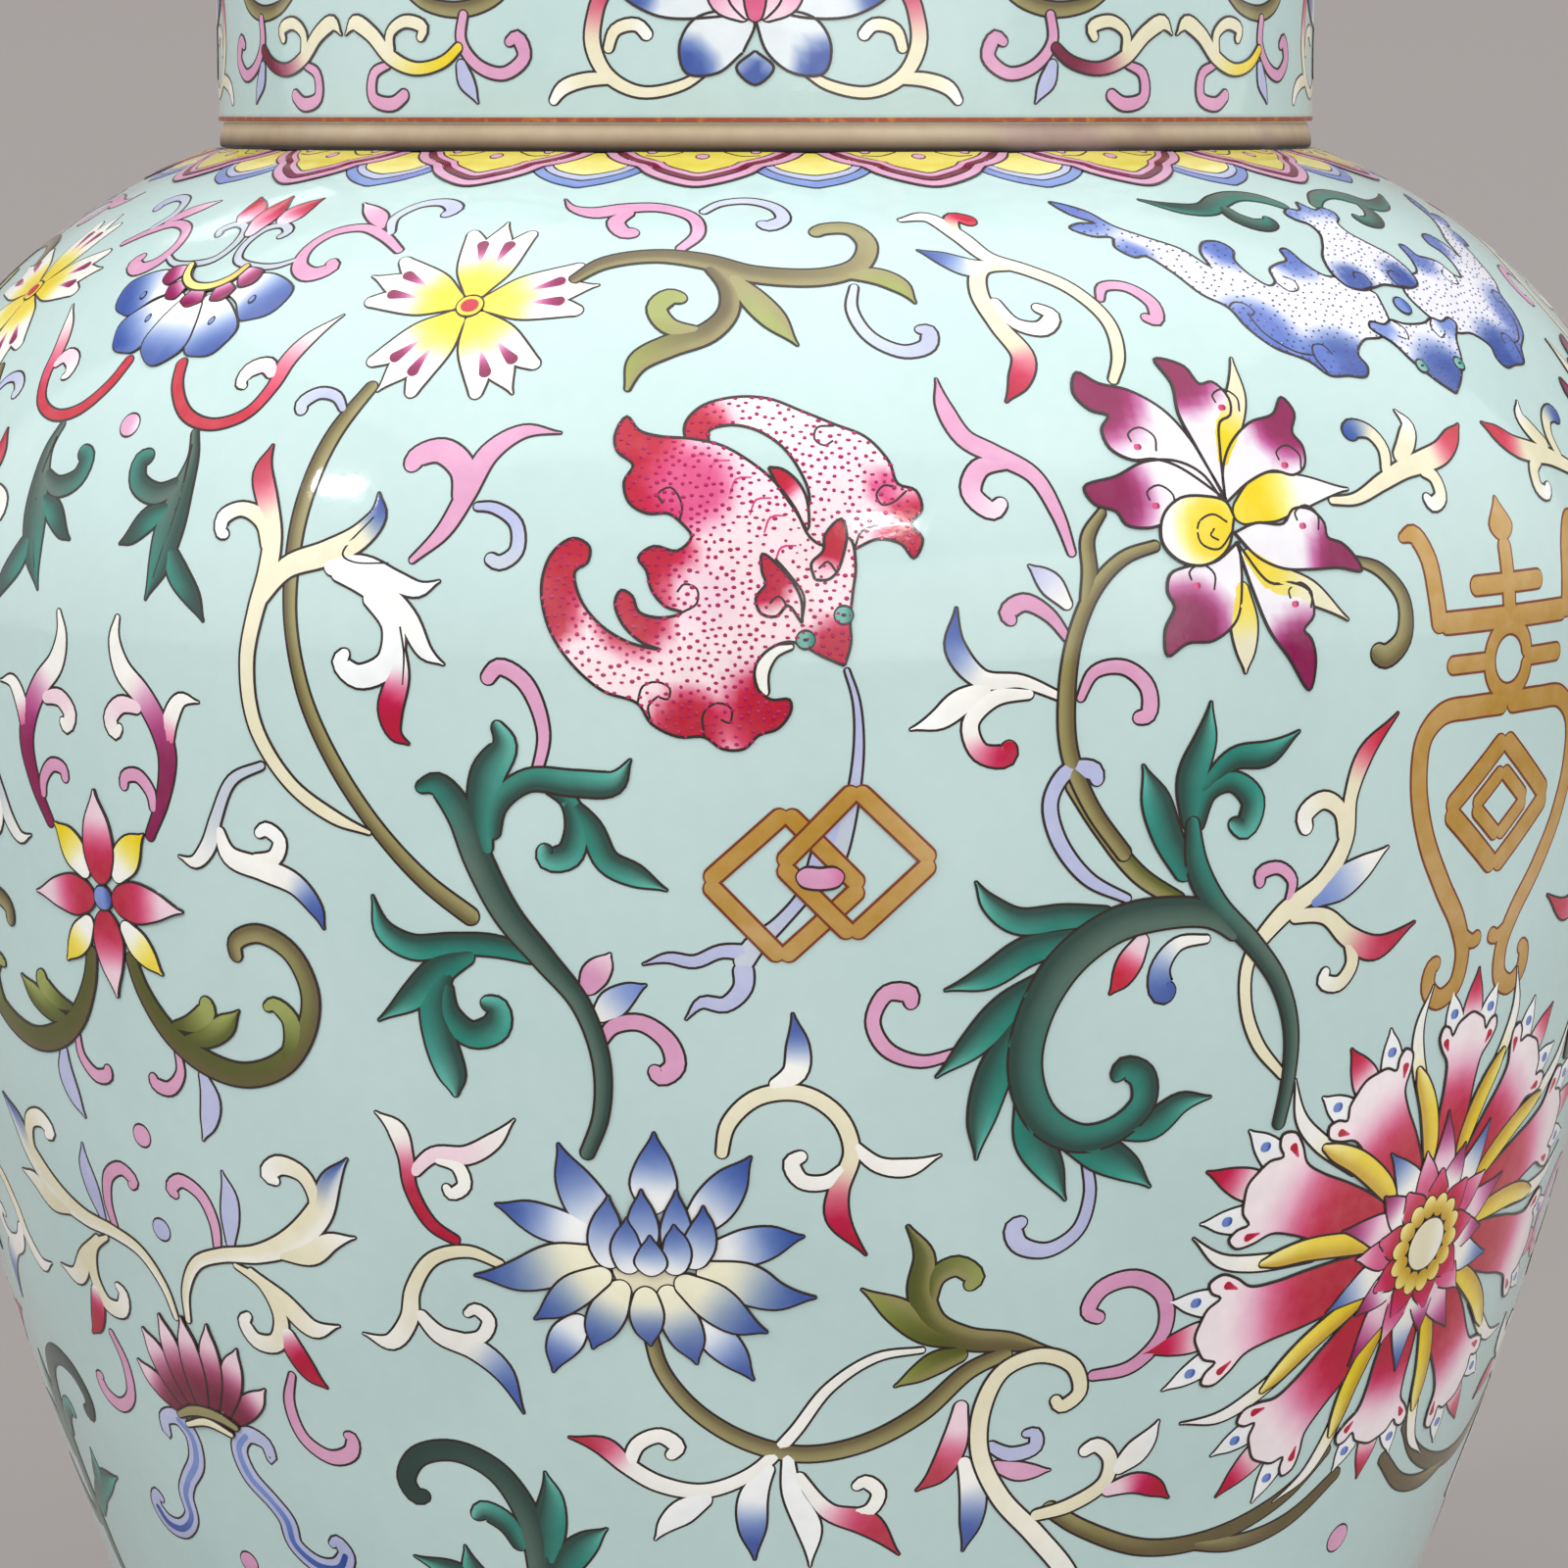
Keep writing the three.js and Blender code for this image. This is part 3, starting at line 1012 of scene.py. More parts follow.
for x, y in ((0, -32), (56, -19), (96, 16)):
    for side in ((1, -1) if x else (1,)):
        hanging.stroke([(side * x - 3, y, 8), (side * x + 3, y, 8)], SKY)
(hanging
 .dry()
 .both([(50, 62, 9), (70, 49, 17), (80, 43, 13)], BLUSH, MAUVE, fade=(0, 0.9))
 .both([(32, 40, 9), (44, 22, 17), (50, 14, 12)], BLUSH, MAUVE, fade=(0, 0.9))
 .stroke([(0, 32, 10), (0, 8, 19), (0, 0, 13)], BLUSH, MAUVE, fade=(0, 0.9))
 .dry()
 .stroke([(-50, 72, 5), (-40, 49, 6), (-16, 34, 6), (16, 34, 6), (40, 49, 6), (50, 72, 5)], LEMON, AMBER,
     fade=(0.3, 1.6))
 .afresh()
 .both([(45, -74, 8), (59, -112, 8), (94, -148, 8), (140, -159, 7.5), (184, -142, 8), (202, -106, 9),
     (204, -72, 12), (216, -40, 10.5), (242, -3, 1)], RED, IVORY, fade=(0.45, 0.95))
 .both([(196, -94, 7), (178, -79, 11), (157, -87, 12), (155, -104, 8), (164, -110, 3.5)], BLUSH, IVORY)
 .afresh()
 .dot(8, -165, 15, PINK, BLUSH)
 .both([(116, -166, 5), (128, -200, 8), (126, -240, 16), (120, -286, 22), (112, -330, 16), (96, -370, 1)],
     SMOKE, TEAL, shade=BOTTLE, lit=1)
 .both([(123, -232, 9), (88, -247, 13), (53, -233, 13), (48, -208, 12), (66, -200, 9)], SMOKE, TEAL,
     fade=(0.2, 0.9), shade=BOTTLE, lit=-1)
 .both([(116, -260, 6), (86, -276, 15), (60, -300, 9), (44, -308, 1)], TEAL, BOTTLE, shade=BOTTLE, lit=-1)
 .both([(126, -310, 10), (142, -336, 15), (170, -366, 11), (186, -390, 1)], TEAL, BOTTLE, shade=BOTTLE)
 .dry()
 .ink_line([(120, -185, 1.5), (126, -236, 1.5), (122, -280, 1.2), (106, -345, 0.8)],
     [(-120, -185, 1.5), (-126, -236, 1.5), (-122, -280, 1.2), (-106, -345, 0.8)]))
lay_column(hanging, "hanging_flower", PENDANT_AXIS, 42)

# The middle of the column: a red and yellow star flower between two forked wine-red leaves, on a pair of
# moss green scrolls.
star = Painting()
(star
 .both([(86, -10, 7), (114, 40, 10), (126, 90, 14), (116, 124, 15), (92, 158, 15), (59, 188, 14),
     (47, 222, 9), (53, 250, 3.5)], MAUVE, IVORY, fade=(0.3, 0.75))
 .both([(124, 95, 10), (134, 136, 12), (151, 158, 9), (178, 157, 1)], ROSE, IVORY, fade=(0, 0.5))
 .both([(88, 144, 8), (54, 146, 11), (36, 128, 11.5), (44, 114, 10), (54, 122, 5)], BLUSH, IVORY)
 .both([(98, 24, 5), (96, 46, 8), (76, 65, 8.5), (55, 61, 8), (52, 46, 6.5)], PINK)
 .dry()
 .both([(90, -262, 5), (89, -292, 7), (66, -314, 9), (43, -310, 9), (40, -298, 6)], PINK)
 .both([(124, -285, 6), (130, -320, 15), (120, -350, 12), (106, -374, 1)], LAVENDER)
 .dry()
 .both([(33, -150, 9), (48, -195, 11), (82, -242, 14), (130, -272, 16), (190, -283, 15), (250, -262, 14),
     (290, -216, 12), (300, -170, 12), (280, -126, 12), (238, -108, 11), (204, -122, 10),
     (204, -144, 8.5)], MOSS, OLIVE, shade=BROWN, lit=-1)
 .both([(90, -233, 5), (124, -226, 12), (148, -208, 13), (146, -192, 8)], MOSS, LIME, fade=(0, 0.8))
 .both([(100, -250, 5), (140, -242, 13), (174, -223, 13.5), (196, -204, 1)], MOSS, LIME, fade=(0, 0.8),
     shade=MOSS, lit=-1)
 .both([(240, -268, 6), (266, -240, 12), (268, -208, 12), (248, -192, 9), (234, -198, 5)], MOSS, LIME,
     fade=(0, 0.8))
 .dry()
 .both([(24, -64, 9), (44, -38, 21), (60, -19, 16), (79, -4, 1)], IVORY, YELLOW, fade=(0.2, 0.9))
 .both([(28, -114, 9), (50, -138, 18), (68, -156, 13), (85, -172, 1)], IVORY, YELLOW, fade=(0.2, 0.9))
 .dry()
 .stroke([(0, -70, 15), (0, -34, 26), (0, 4, 21), (0, 42, 1)], CRIMSON, BLUSH, fade=(0.1, 0.75))
 .stroke([(0, -102, 15), (0, -136, 26), (0, -170, 19), (2, -208, 1)], CRIMSON, BLUSH, fade=(0.1, 0.75))
 .both([(16, -88, 15), (52, -88, 25), (88, -89, 18), (130, -92, 1)], CRIMSON, BLUSH, fade=(0.1, 0.75))
 .dry()
 .dot(0, -87, 15, SKY, BLUE)
 .dry())
lay_column(star, "star_flower", PENDANT_AXIS, -22)

# The foot of the column: a wine-red lotus bud on blue ribbons, under spreading cream scrolls.
bud = Painting()
(bud
 .both([(92, 142, 6), (96, 180, 8), (83, 214, 9), (53, 228, 9), (34, 214, 9), (44, 206, 6)], PINK)
 .both([(114, 150, 6), (124, 190, 14), (130, 220, 12), (126, 250, 1)], LAVENDER)
 .both([(166, -6, 5), (149, -50, 8), (158, -96, 9), (192, -116, 10), (224, -104, 10), (230, -84, 8.5),
     (220, -82, 5)], PINK)
 .dry()
 .both([(10, 36, 5), (20, 80, 7), (50, 120, 8.5), (96, 138, 9.5), (156, 148, 12), (210, 170, 16),
     (260, 212, 17), (286, 256, 13), (314, 286, 1)], CREAM, BLUE, fade=(0.78, 1), shade=IVORY, lit=-1)
 .both([(184, 154, 9), (234, 158, 15), (270, 178, 11), (304, 186, 1)], CREAM, IVORY)
 .both([(240, 194, 9), (258, 226, 9), (248, 259, 11), (216, 268, 12.5), (197, 253, 11), (212, 246, 6)],
     CREAM, IVORY)
 .both([(114, 129, 4), (154, 108, 9), (169, 66, 11), (153, 32, 12), (121, 31, 12), (110, 54, 10),
     (122, 65, 5)], CREAM, IVORY)
 .both([(136, 126, 5), (180, 89, 14), (214, 59, 13), (254, 67, 1)], CREAM, IVORY)
 .both([(170, 54, 11), (179, 24, 15), (195, -4, 12), (214, -20, 1)], IVORY, CRIMSON, fade=(0, 0.6))
 .afresh())
for x, y, colour in ((0, 278, PINK), (0, 157, LAVENDER), (0, -296, PINK)):
    bud.dot(x, y, 14.5, colour)
ribbon = [(90, -126, 5), (94, -134, 8), (92, -114, 10), (64, -106, 12), (43, -128, 13), (48, -164, 14),
    (78, -198, 13), (92, -220, 14), (94, -252, 13), (124, -276, 14), (156, -274, 14), (173, -252, 12),
    (164, -236, 9), (152, -244, 5)]
(bud
 .both(ribbon, LAVENDER)
 .dry()
 .both([(x, y, w * 0.42) for x, y, w in ribbon[3:-2]], SKY, BLUE)
 .dry(outlined=False))
for reach in ([(46, -89, 12), (76, -68, 16), (98, -52, 12), (115, -36, 1)], [(32, -84, 12), (58, -40, 18),
        (72, -10, 14), (85, 13, 1)], [(16, -80, 12), (30, -30, 18), (37, 8, 14), (43, 39, 1)]):
    (bud
     .both(reach, WINE, BLUSH, fade=(0.15, 0.8))
     .dry())
(bud
 .stroke([(0, -80, 12), (0, -30, 19), (0, 10, 15), (0, 43, 1)], WINE, BLUSH, fade=(0.15, 0.8))
 .dry()
 .stroke([(-54, -99, 5), (-26, -88, 7), (0, -85, 7.5), (26, -88, 7), (54, -99, 5)], OLIVE)
 .stroke([(-42, -110, 4), (0, -99, 6), (42, -110, 4)], CREAM))
lay_column(bud, "lotus_bud", PENDANT_AXIS, -88)

# Daisy and long stem: a white daisy with plum marks, and an olive stem that runs down the field behind
# cream scrolls, all in enamel over ink lines.
DAISY_PETAL_ANGLES = (90, 14, -56, -124, 162)


def turned(points, angle, x=0, y=0):
    """Points drawn along +x, turned to an angle in degrees and moved."""
    c, s = math.cos(math.radians(angle)), math.sin(math.radians(angle))
    return [(x + a * c - b * s, y + a * s + b * c, w) for a, b, w in points]


daisy = Painting()
for angle in DAISY_PETAL_ANGLES:
    for side in (-1, 1):
        lobe = [(15, side * 3, 8), (60, side * 15, 19), (104, side * 27, 15), (130, side * 39, 7)]
        daisy.stroke(turned(lobe, angle, 3, 33), YELLOW, IVORY, fade=(0.1, 0.6))
    middle = [(15, 0, 10), (60, 0, 22), (106, 0, 19), (148, 0, 1)]
    (daisy
     .stroke(turned(middle, angle, 3, 33), YELLOW, IVORY, fade=(0.1, 0.6))
     .dry())
    for side in (-1, 1):
        mark = [(68, side * 10, 2), (92, side * 14, 6.5), (110, side * 18, 9.5)]
        daisy.stroke(turned(mark, angle, 3, 33), BLUSH, MAUVE, fade=(0, 0.9))
    daisy.dry(outlined=False)
    daisy.coat -= 1.9
daisy.coat = 2
(daisy
 .dot(3, 33, 16, YELLOW)
 .dry()
 .dot(3, 33, 11, RED)
 .dry(outlined=False)
 .afresh()
 .stroke([(-116, -116, 5), (-130, -98, 7), (-154, -94, 8), (-174, -109, 9), (-170, -122, 7.5)], LAVENDER,
     GREY))
lay_round(daisy, "daisy", -20, 40)

long_stem = Painting()
(long_stem
 .stroke([(8, 302, 8), (-28, 230, 10), (-48, 150, 10), (-53, 80, 9), (-50, 10, 8), (-32, -70, 8.5),
     (5, -145, 9), (55, -215, 9), (110, -272, 10), (170, -316, 11)], OLIVE, shade=BROWN, lit=-1)
 .dry()
 .stroke([(46, -220, 3), (0, -204, 8), (-56, -168, 8.5), (-100, -105, 9.5), (-110, -35, 10),
     (-98, 26, 11), (-85, 70, 13), (-83, 110, 13), (-96, 150, 14), (-110, 186, 13), (-104, 219, 1)],
     CREAM, CRIMSON, fade=(0.82, 0.98))
 .stroke([(-86, 94, 9), (-98, 128, 11), (-130, 141, 9), (-155, 129, 10), (-154, 113, 8.5),
     (-144, 110, 5)], CREAM, IVORY)
 .stroke([(-96, 34, 9), (-60, 76, 13), (-10, 94, 15), (30, 114, 15), (50, 140, 11), (47, 166, 1)], CREAM,
     BLUE, fade=(0.72, 0.95))
 .stroke([(-10, 80, 12), (40, 82, 12), (80, 66, 12), (110, 58, 9), (134, 68, 1)], WHITE)
 .stroke([(0, 76, 10), (50, 60, 15), (96, 26, 13), (120, -12, 9), (142, -25, 1)], IVORY, WHITE)
 .stroke([(45, 52, 10), (80, 16, 14), (74, -26, 15), (36, -42, 14), (15, -26, 11), (24, -13, 6)], WHITE)
 .stroke([(82, 0, 12), (86, -40, 14), (76, -80, 15), (82, -106, 8), (98, -116, 1)], WHITE, CRIMSON,
     fade=(0.2, 0.75))
 .stroke([(-90, -149, 5), (-136, -170, 7), (-162, -216, 8.5), (-176, -250, 11), (-198, -270, 8),
     (-222, -265, 1)], GREY, IVORY)
 .stroke([(-160, -226, 7), (-146, -258, 12), (-100, -271, 14), (-56, -286, 13), (-30, -314, 9),
     (-22, -336, 1)], IVORY, BLUE, fade=(0.6, 0.95))
 .stroke([(-115, -262, 8), (-82, -256, 10), (-74, -236, 9.5), (-92, -224, 9), (-106, -232, 6)], IVORY,
     WHITE)
 .dry()
 .ink_line([(46, 138, 1), (12, 94, 1.3), (26, 86, 1), (70, 86, 1)], [(89, 16, 1.2), (94, -14, 1.2),
     (92, -50, 0.8)])
 .afresh()
 .stroke([(96, 88, 4), (132, 124, 9.5), (152, 166, 12), (170, 216, 13), (204, 243, 9), (248, 242, 1)],
     PINK)
 .stroke([(148, 156, 11), (143, 196, 15), (112, 218, 15), (84, 208, 13), (80, 192, 9.5)], PINK)
 .dry()
 .afresh()
 .stroke([(164, 153, 5), (188, 152, 6.5), (216, 134, 7.5), (220, 103, 8.5), (202, 90, 8.5), (186, 97, 7)],
     LAVENDER, GREY)
 .stroke([(244, -156, 6), (257, -98, 7.5), (236, -42, 9.5), (206, -26, 9.5), (189, -44, 8.5)], PINK))
lay_round(long_stem, "long_stem", -25, 2)

# Crest scroll: an olive scroll over the bat, from the daisy to a rolled tip, with pink and lavender hooks.
crest = Painting()
(crest
 .stroke([(-164, 68, 6), (-140, 100, 8), (-144, 132, 8.5), (-180, 153, 9), (-220, 152, 10),
     (-260, 142, 11), (-285, 152, 6), (-293, 172, 1)], PINK)
 .stroke([(-214, 146, 7), (-234, 122, 11), (-225, 102, 11), (-208, 103, 8.5)], PINK)
 .stroke([(-134, 142, 5), (-110, 163, 6), (-75, 168, 7), (-47, 152, 8), (-41, 129, 9), (-58, 116, 10),
     (-70, 123, 6)], GREY, LAVENDER)
 .stroke([(33, 10, 5), (28, -30, 7), (47, -71, 8), (84, -91, 9), (111, -82, 10.5), (112, -62, 9.5),
     (98, -59, 5)], GREY, LAVENDER)
 .dry()
 .stroke([(-290, 14, 6), (-250, 45, 9.5), (-190, 58, 11), (-135, 49, 13), (-80, 27, 14), (0, 23, 14),
     (40, 42, 13), (52, 80, 12), (35, 108, 11), (3, 108, 10), (-10, 97, 8)], BROWN, OLIVE, shade=OLIVE,
     lit=-1)
 .stroke([(-130, 44, 9), (-110, 4, 11), (-112, -34, 12), (-136, -64, 14), (-180, -83, 15),
     (-216, -106, 12.5), (-230, -144, 3)], BROWN, LIME, shade=OLIVE, lit=1)
 .stroke([(-144, -64, 8), (-180, -54, 12), (-192, -28, 12), (-176, -10, 12), (-158, -14, 7.5)], OLIVE,
     LIME, fade=(0, 0.6))
 .stroke([(20, 28, 8), (60, 23, 13), (86, 6, 11), (101, -20, 1)], OLIVE, LIME, fade=(0, 0.6), shade=OLIVE,
     lit=1)
 .stroke([(-106, 24, 8), (-82, -14, 16), (-60, -46, 15), (-36, -82, 1)], OLIVE, LIME, fade=(0, 0.6),
     shade=OLIVE, lit=1))
lay_round(crest, "crest_scroll", 4, 46)

# Crimson bat: a bat with curled wings, painted in pale and crimson enamel and stippled all over in raised
# magenta dots. It holds a ribbon hung with a gilt charm.
def stippled(surface, name, body, spacing, size, finish, seed):
    """Geometry Nodes: scatters small raised dots over the enamelled face of a bare painting."""
    tree = bpy.data.node_groups.new(name + "_stipple", "GeometryNodeTree")
    tree.interface.new_socket("Geometry", in_out="OUTPUT", socket_type="NodeSocketGeometry")
    tree.interface.new_socket("Geometry", in_out="INPUT", socket_type="NodeSocketGeometry")
    gap = tree.interface.new_socket("Spacing", in_out="INPUT", socket_type="NodeSocketFloat")
    radius = tree.interface.new_socket("Dot Radius", in_out="INPUT", socket_type="NodeSocketFloat")
    chance = tree.interface.new_socket("Seed", in_out="INPUT", socket_type="NodeSocketInt")
    given = add(tree, "NodeGroupInput").outputs
    upper = add(tree, "GeometryNodeInputNamedAttribute", {"Name": "glossy"}, data_type="FLOAT")
    wanted = add(tree, "FunctionNodeCompare", {"A": upper.outputs["Attribute"], "B": 0.95},
        operation="GREATER_THAN")
    scatter = add(tree, "GeometryNodeDistributePointsOnFaces", distribute_method="POISSON")
    for name_in, value in (("Mesh", given["Geometry"]), ("Selection", wanted.outputs["Result"]),
            ("Distance Min", given["Spacing"]), ("Seed", given["Seed"])):
        tree.links.new(value, scatter.inputs[name_in])
    scatter.inputs["Density Max"].default_value = 8e6
    dot = add(tree, "GeometryNodeMeshCone", {"Vertices": 7, "Depth": 0.0001,
        "Radius Bottom": given["Dot Radius"], "Radius Top": maths(tree, "MULTIPLY", given["Dot Radius"],
        0.6)})
    vary = add(tree, "FunctionNodeRandomValue", {"Min": (0.75, 0.6, 0.8), "Max": (1.25, 1, 1)},
        data_type="FLOAT_VECTOR")
    dots = add(tree, "GeometryNodeInstanceOnPoints", {"Points": scatter.outputs["Points"],
        "Rotation": scatter.outputs["Rotation"], "Instance": dot.outputs["Mesh"],
        "Scale": vary.outputs["Value"]})
    made_real(tree, dots, finish)
    modifier = surface.modifiers.new("stipple", "NODES")
    modifier.node_group = tree
    modifier[gap.identifier] = spacing
    modifier[radius.identifier] = size
    modifier[chance.identifier] = seed
    made = plain_mesh(surface, name)
    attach(made, body)
    return made


RASPBERRY = linear(170, 24, 92)
SHELL = linear(244, 222, 228)
magenta_stipple = glazed("magenta_stipple", RASPBERRY, clouding=0.12, roughness=0.16)
CLARET = linear(180, 2, 50)
far_wing = [(-44, 172), (-68, 174), (-71, 194), (-54, 216), (-20, 228), (20, 227), (60, 210), (95, 194),
    (130, 178), (156, 148), (166, 122), (186, 114), (193, 92), (181, 76), (194, 58), (184, 37), (170, 53),
    (144, 59), (118, 48), (80, 30), (50, 50), (68, 104), (56, 140), (34, 170), (4, 189), (-24, 193),
    (-44, 186)]
bat_body = [(107, -81), (114, -56), (113, -30), (116, 0), (119, 30), (112, 60), (84, 52), (68, 62),
    (52, 94), (28, 126), (0, 150), (-30, 168), (-64, 176), (-100, 179), (-122, 186), (-136, 203),
    (-149, 180), (-146, 160), (-128, 144), (-138, 124), (-132, 100), (-112, 88), (-88, 88), (-72, 76),
    (-62, 62), (-78, 46), (-104, 51), (-121, 38), (-112, 24), (-106, 2), (-90, -16), (-72, -22),
    (-94, -28), (-120, -22), (-128, -4), (-140, 2), (-147, -12), (-138, -36), (-116, -56), (-96, -63),
    (-130, -56), (-164, -36), (-186, -8), (-192, 22), (-178, 32), (-176, 50), (-194, 59), (-218, 42),
    (-230, 6), (-222, -40), (-196, -80), (-160, -110), (-122, -123), (-106, -146), (-76, -160),
    (-48, -160), (-28, -173), (-4, -173), (12, -158), (34, -150), (48, -130), (46, -118), (26, -118),
    (10, -104), (9, -80), (24, -62), (46, -54), (64, -60), (82, -70)]
near_ear = [(60, -34), (59, -8), (46, 16), (16, 43), (16, 22), (20, 10), (9, -6), (15, -23), (32, -26),
    (44, -14)]
far_ear = [(74, 14), (70, 32), (83, 46), (85, 64), (103, 82), (109, 66), (106, 44), (98, 22), (88, 14)]
back_ear = [(22, 142), (37, 140), (54, 126), (65, 104), (66, 70), (52, 92), (34, 118)]
bat = Painting()
bat.shape(far_wing, SHELL, (-62, 184, 55, CLARET), (186, 66, 55, CLARET), (150, 120, 25, ROSE))
(bat
 .ink_line([(164, 118), (150, 120), (142, 109), (148, 98), (160, 100), (176, 114)],
     [(95, 192), (76, 190), (73, 176), (84, 168), (94, 174)], [(118, 49), (126, 68), (154, 76),
     (179, 75)])
 .stroke([(50, -59, 3), (28, -66, 7), (16, -86, 8), (19, -114, 5)], IVORY)
 .dry())
bat.coat = 1
bat.shape(back_ear, SHELL, (32, 132, 36, CLARET))
bat.coat = 1
bat.shape(bat_body, SHELL, (-132, 170, 75, CLARET), (-112, 110, 65, CLARET), (-104, 26, 65, CLARET),
    (-126, -26, 55, CLARET), (-202, 36, 65, CLARET), (-226, -24, 50, CLARET), (26, -134, 68, CLARET),
    (-66, -150, 55, CLARET), (100, -66, 46, CLARET), (-66, 120, 65, ROSE), (-50, 0, 55, BLUSH))
(bat
 .ink_line([(-76, 78), (-73, 98), (-86, 118), (-100, 110), (-94, 99)], [(-72, -22), (-56, -12), (-56, 4),
     (-70, 9), (-78, 0)], [(-48, -160), (-49, -134), (-34, -122), (-18, -128), (-20, -144), (-30, -140)],
     [(-122, -123), (-116, -104), (-100, -99), (-86, -106), (-88, -118), (-98, -116)],
     [(-106, -146), (-110, -126), (-98, -114)])
 .ink_line(*[[(x, y, 1), (x + 7, y + 18, 1.4), (x + 24, y + 20, 1)] for x, y in ((-70, 136), (-44, 130),
     (-20, 110), (2, 86), (18, 66), (30, 32))], colour=ROSE))
bat.coat = 2
bat.shape(near_ear, SHELL, (18, 16, 42, CLARET))
bat.ink_line([(32, -26), (42, -14), (34, -4), (24, -12)], [(60, -32), (62, -4), (46, 20), (30, 38)])
bat.coat = 2
bat.shape(far_ear, SHELL, (98, 64, 46, CLARET))
bat.ink_line([(98, 22), (88, 34), (78, 26)])
bat.coat = 2
VERDIGRIS = linear(118, 176, 164)
for x, y in ((64, -52), (106, -25)):
    bat.dot(x, y, 10, VERDIGRIS, TEAL)
bat.dry()
for x, y in ((64, -52), (106, -25)):
    bat.dot(x, y, 3, INK)
(bat
 .dry(outlined=False)
 .afresh()
 .stroke([(109, -84, 3), (120, -120, 4), (123, -170, 5.5), (116, -230, 7.5), (102, -280, 12),
     (92, -310, 12)], LAVENDER, GREY))
lay_round(bat, "crimson_bat", -1, 8)


def freckle(edges, name, places, up, spacing, size, finish):
    """Stipples the copies of a creature, over the same outlines as its own."""
    for nth, (degrees, flip) in enumerate(places):
        bare = Painting()
        for coat, edge in edges:
            bare.coat = coat
            bare.shape(edge, WHITE, inked=False)
        ground = bare.lay(f"{name}_ground", jar_wall, degrees, up, None, flip=flip)
        stippled(ground, f"{name}_stipple_{nth + 1}", "jar", spacing, size, finish, 11 + nth)


freckle([(0, far_wing), (1, bat_body)], "crimson_bat", copies(-1), 8, 0.00082, 0.00027, magenta_stipple)

# Gilt charm: two interlocked open lozenges in matt gold paint on the bat's ribbon, with a pink knot and two
# wavering ribbon ends in enamel.
charm_ribbon = Painting()
(charm_ribbon
 .stroke([(78, 88, 12), (62, 44, 13), (44, 4, 8), (14, -32, 8), (-14, -58, 12), (-30, -84, 12)], LAVENDER,
     GREY)
 .stroke([(-16, -66, 10), (-50, -64, 8), (-80, -76, 7.5), (-110, -72, 6), (-138, -80, 1)], LAVENDER)
 .stroke([(-26, -76, 12), (-26, -106, 11), (-46, -126, 9), (-72, -124, 7), (-90, -144, 1)], LAVENDER))
lay_round(charm_ribbon, "charm_ribbon", 0, -26)


def painted_gold():
    """Matt gold paint over a rust-red ground: warm, lightly metallic and a little uneven."""
    material = glazed("painted_gold", GOLD, clouding=0.16, roughness=0.34, dimple=0.0002,
        attribute="tint")
    tree = material.node_tree
    covered = add(tree, "ShaderNodeAttribute", attribute_name="glossy").outputs["Fac"]
    tree.links.new(spread(tree, covered, 0, 1, 0, 0.2), tree.nodes["Principled BSDF"].inputs["Metallic"])
    return material


gold_paint = painted_gold()


def gilt_line_between(painting, points, half, closed=False):
    """A gold band of even width through a few corners, drawn as straight strokes."""
    runs = list(zip(points, points[1:] + points[:1])) if closed else list(zip(points, points[1:]))
    for (x0, y0), (x1, y1) in runs:
        painting.stroke([(x0, y0, half), ((x0 + x1) / 2, (y0 + y1) / 2, half), (x1, y1, half)], GOLD)


charm = Painting(ink_colour=RUST)
charm.coat = 1.6
gilt_line_between(charm, [(-66, 16), (22, 96), (106, 10), (18, -72)], 10.5, closed=True)
charm.dry()
gilt_line_between(charm, [(16, 36), (100, 122), (186, 38), (96, -46)], 10.5, closed=True)
charm.dry()
lay_round(charm, "gilt_charm", 0, -26, finish=gold_paint)
knot = Painting()
knot.coat = 4.2
knot.stroke([(34, 24, 8), (44, 22, 12), (60, 20, 12.5), (76, 22, 12), (86, 24, 8)], PINK, ROSE,
    fade=(0.5, 1.6))
lay_round(knot, "charm_knot", 0, -26)

# Blue bat: over each medallion, seen from the front with its wings spread under green scrolls, in white and
# blue enamel stippled with raised blue dots.
blue_wing = [(68, 28), (98, 34), (112, 56), (118, 82), (130, 80), (136, 62), (156, 56), (178, 46),
    (187, 25), (202, 19), (216, 38), (218, 64), (205, 82), (212, 97), (236, 98), (257, 78), (263, 54),
    (280, 86), (312, 110), (336, 132), (348, 164), (378, 184), (374, 156), (356, 138), (376, 138),
    (396, 128), (380, 112), (356, 109), (366, 90), (354, 72), (338, 74), (324, 48), (310, 8), (288, -14),
    (283, -44), (264, -74), (224, -96), (206, -116), (176, -118), (148, -120), (136, -106), (140, -90),
    (114, -69), (80, -66), (50, -50), (30, 0)]
blue_tail = [(0, 176), (15, 157), (36, 161), (50, 150), (44, 137), (30, 128), (29, 110), (48, 86),
    (70, 64), (80, 36), (74, 14), (50, 6), (24, 10), (0, 14)]
blue_head = [(0, -150), (24, -132), (50, -104), (66, -76), (90, -52), (82, -43), (60, -48), (42, -42),
    (24, -48), (0, -50)]
MILK = linear(232, 232, 240)
blue_stipple = glazed("blue_stipple", linear(92, 98, 150), clouding=0.12, roughness=0.16)


def other_side(edge):
    """The same outline on the other side of the middle line, run the same way round."""
    return [(-x, y) for x, y in edge[::-1]]


def whole(half):
    """A symmetric outline from its right half, which starts and ends on the middle line."""
    return half + [(-x, y) for x, y in half[-2:0:-1]]


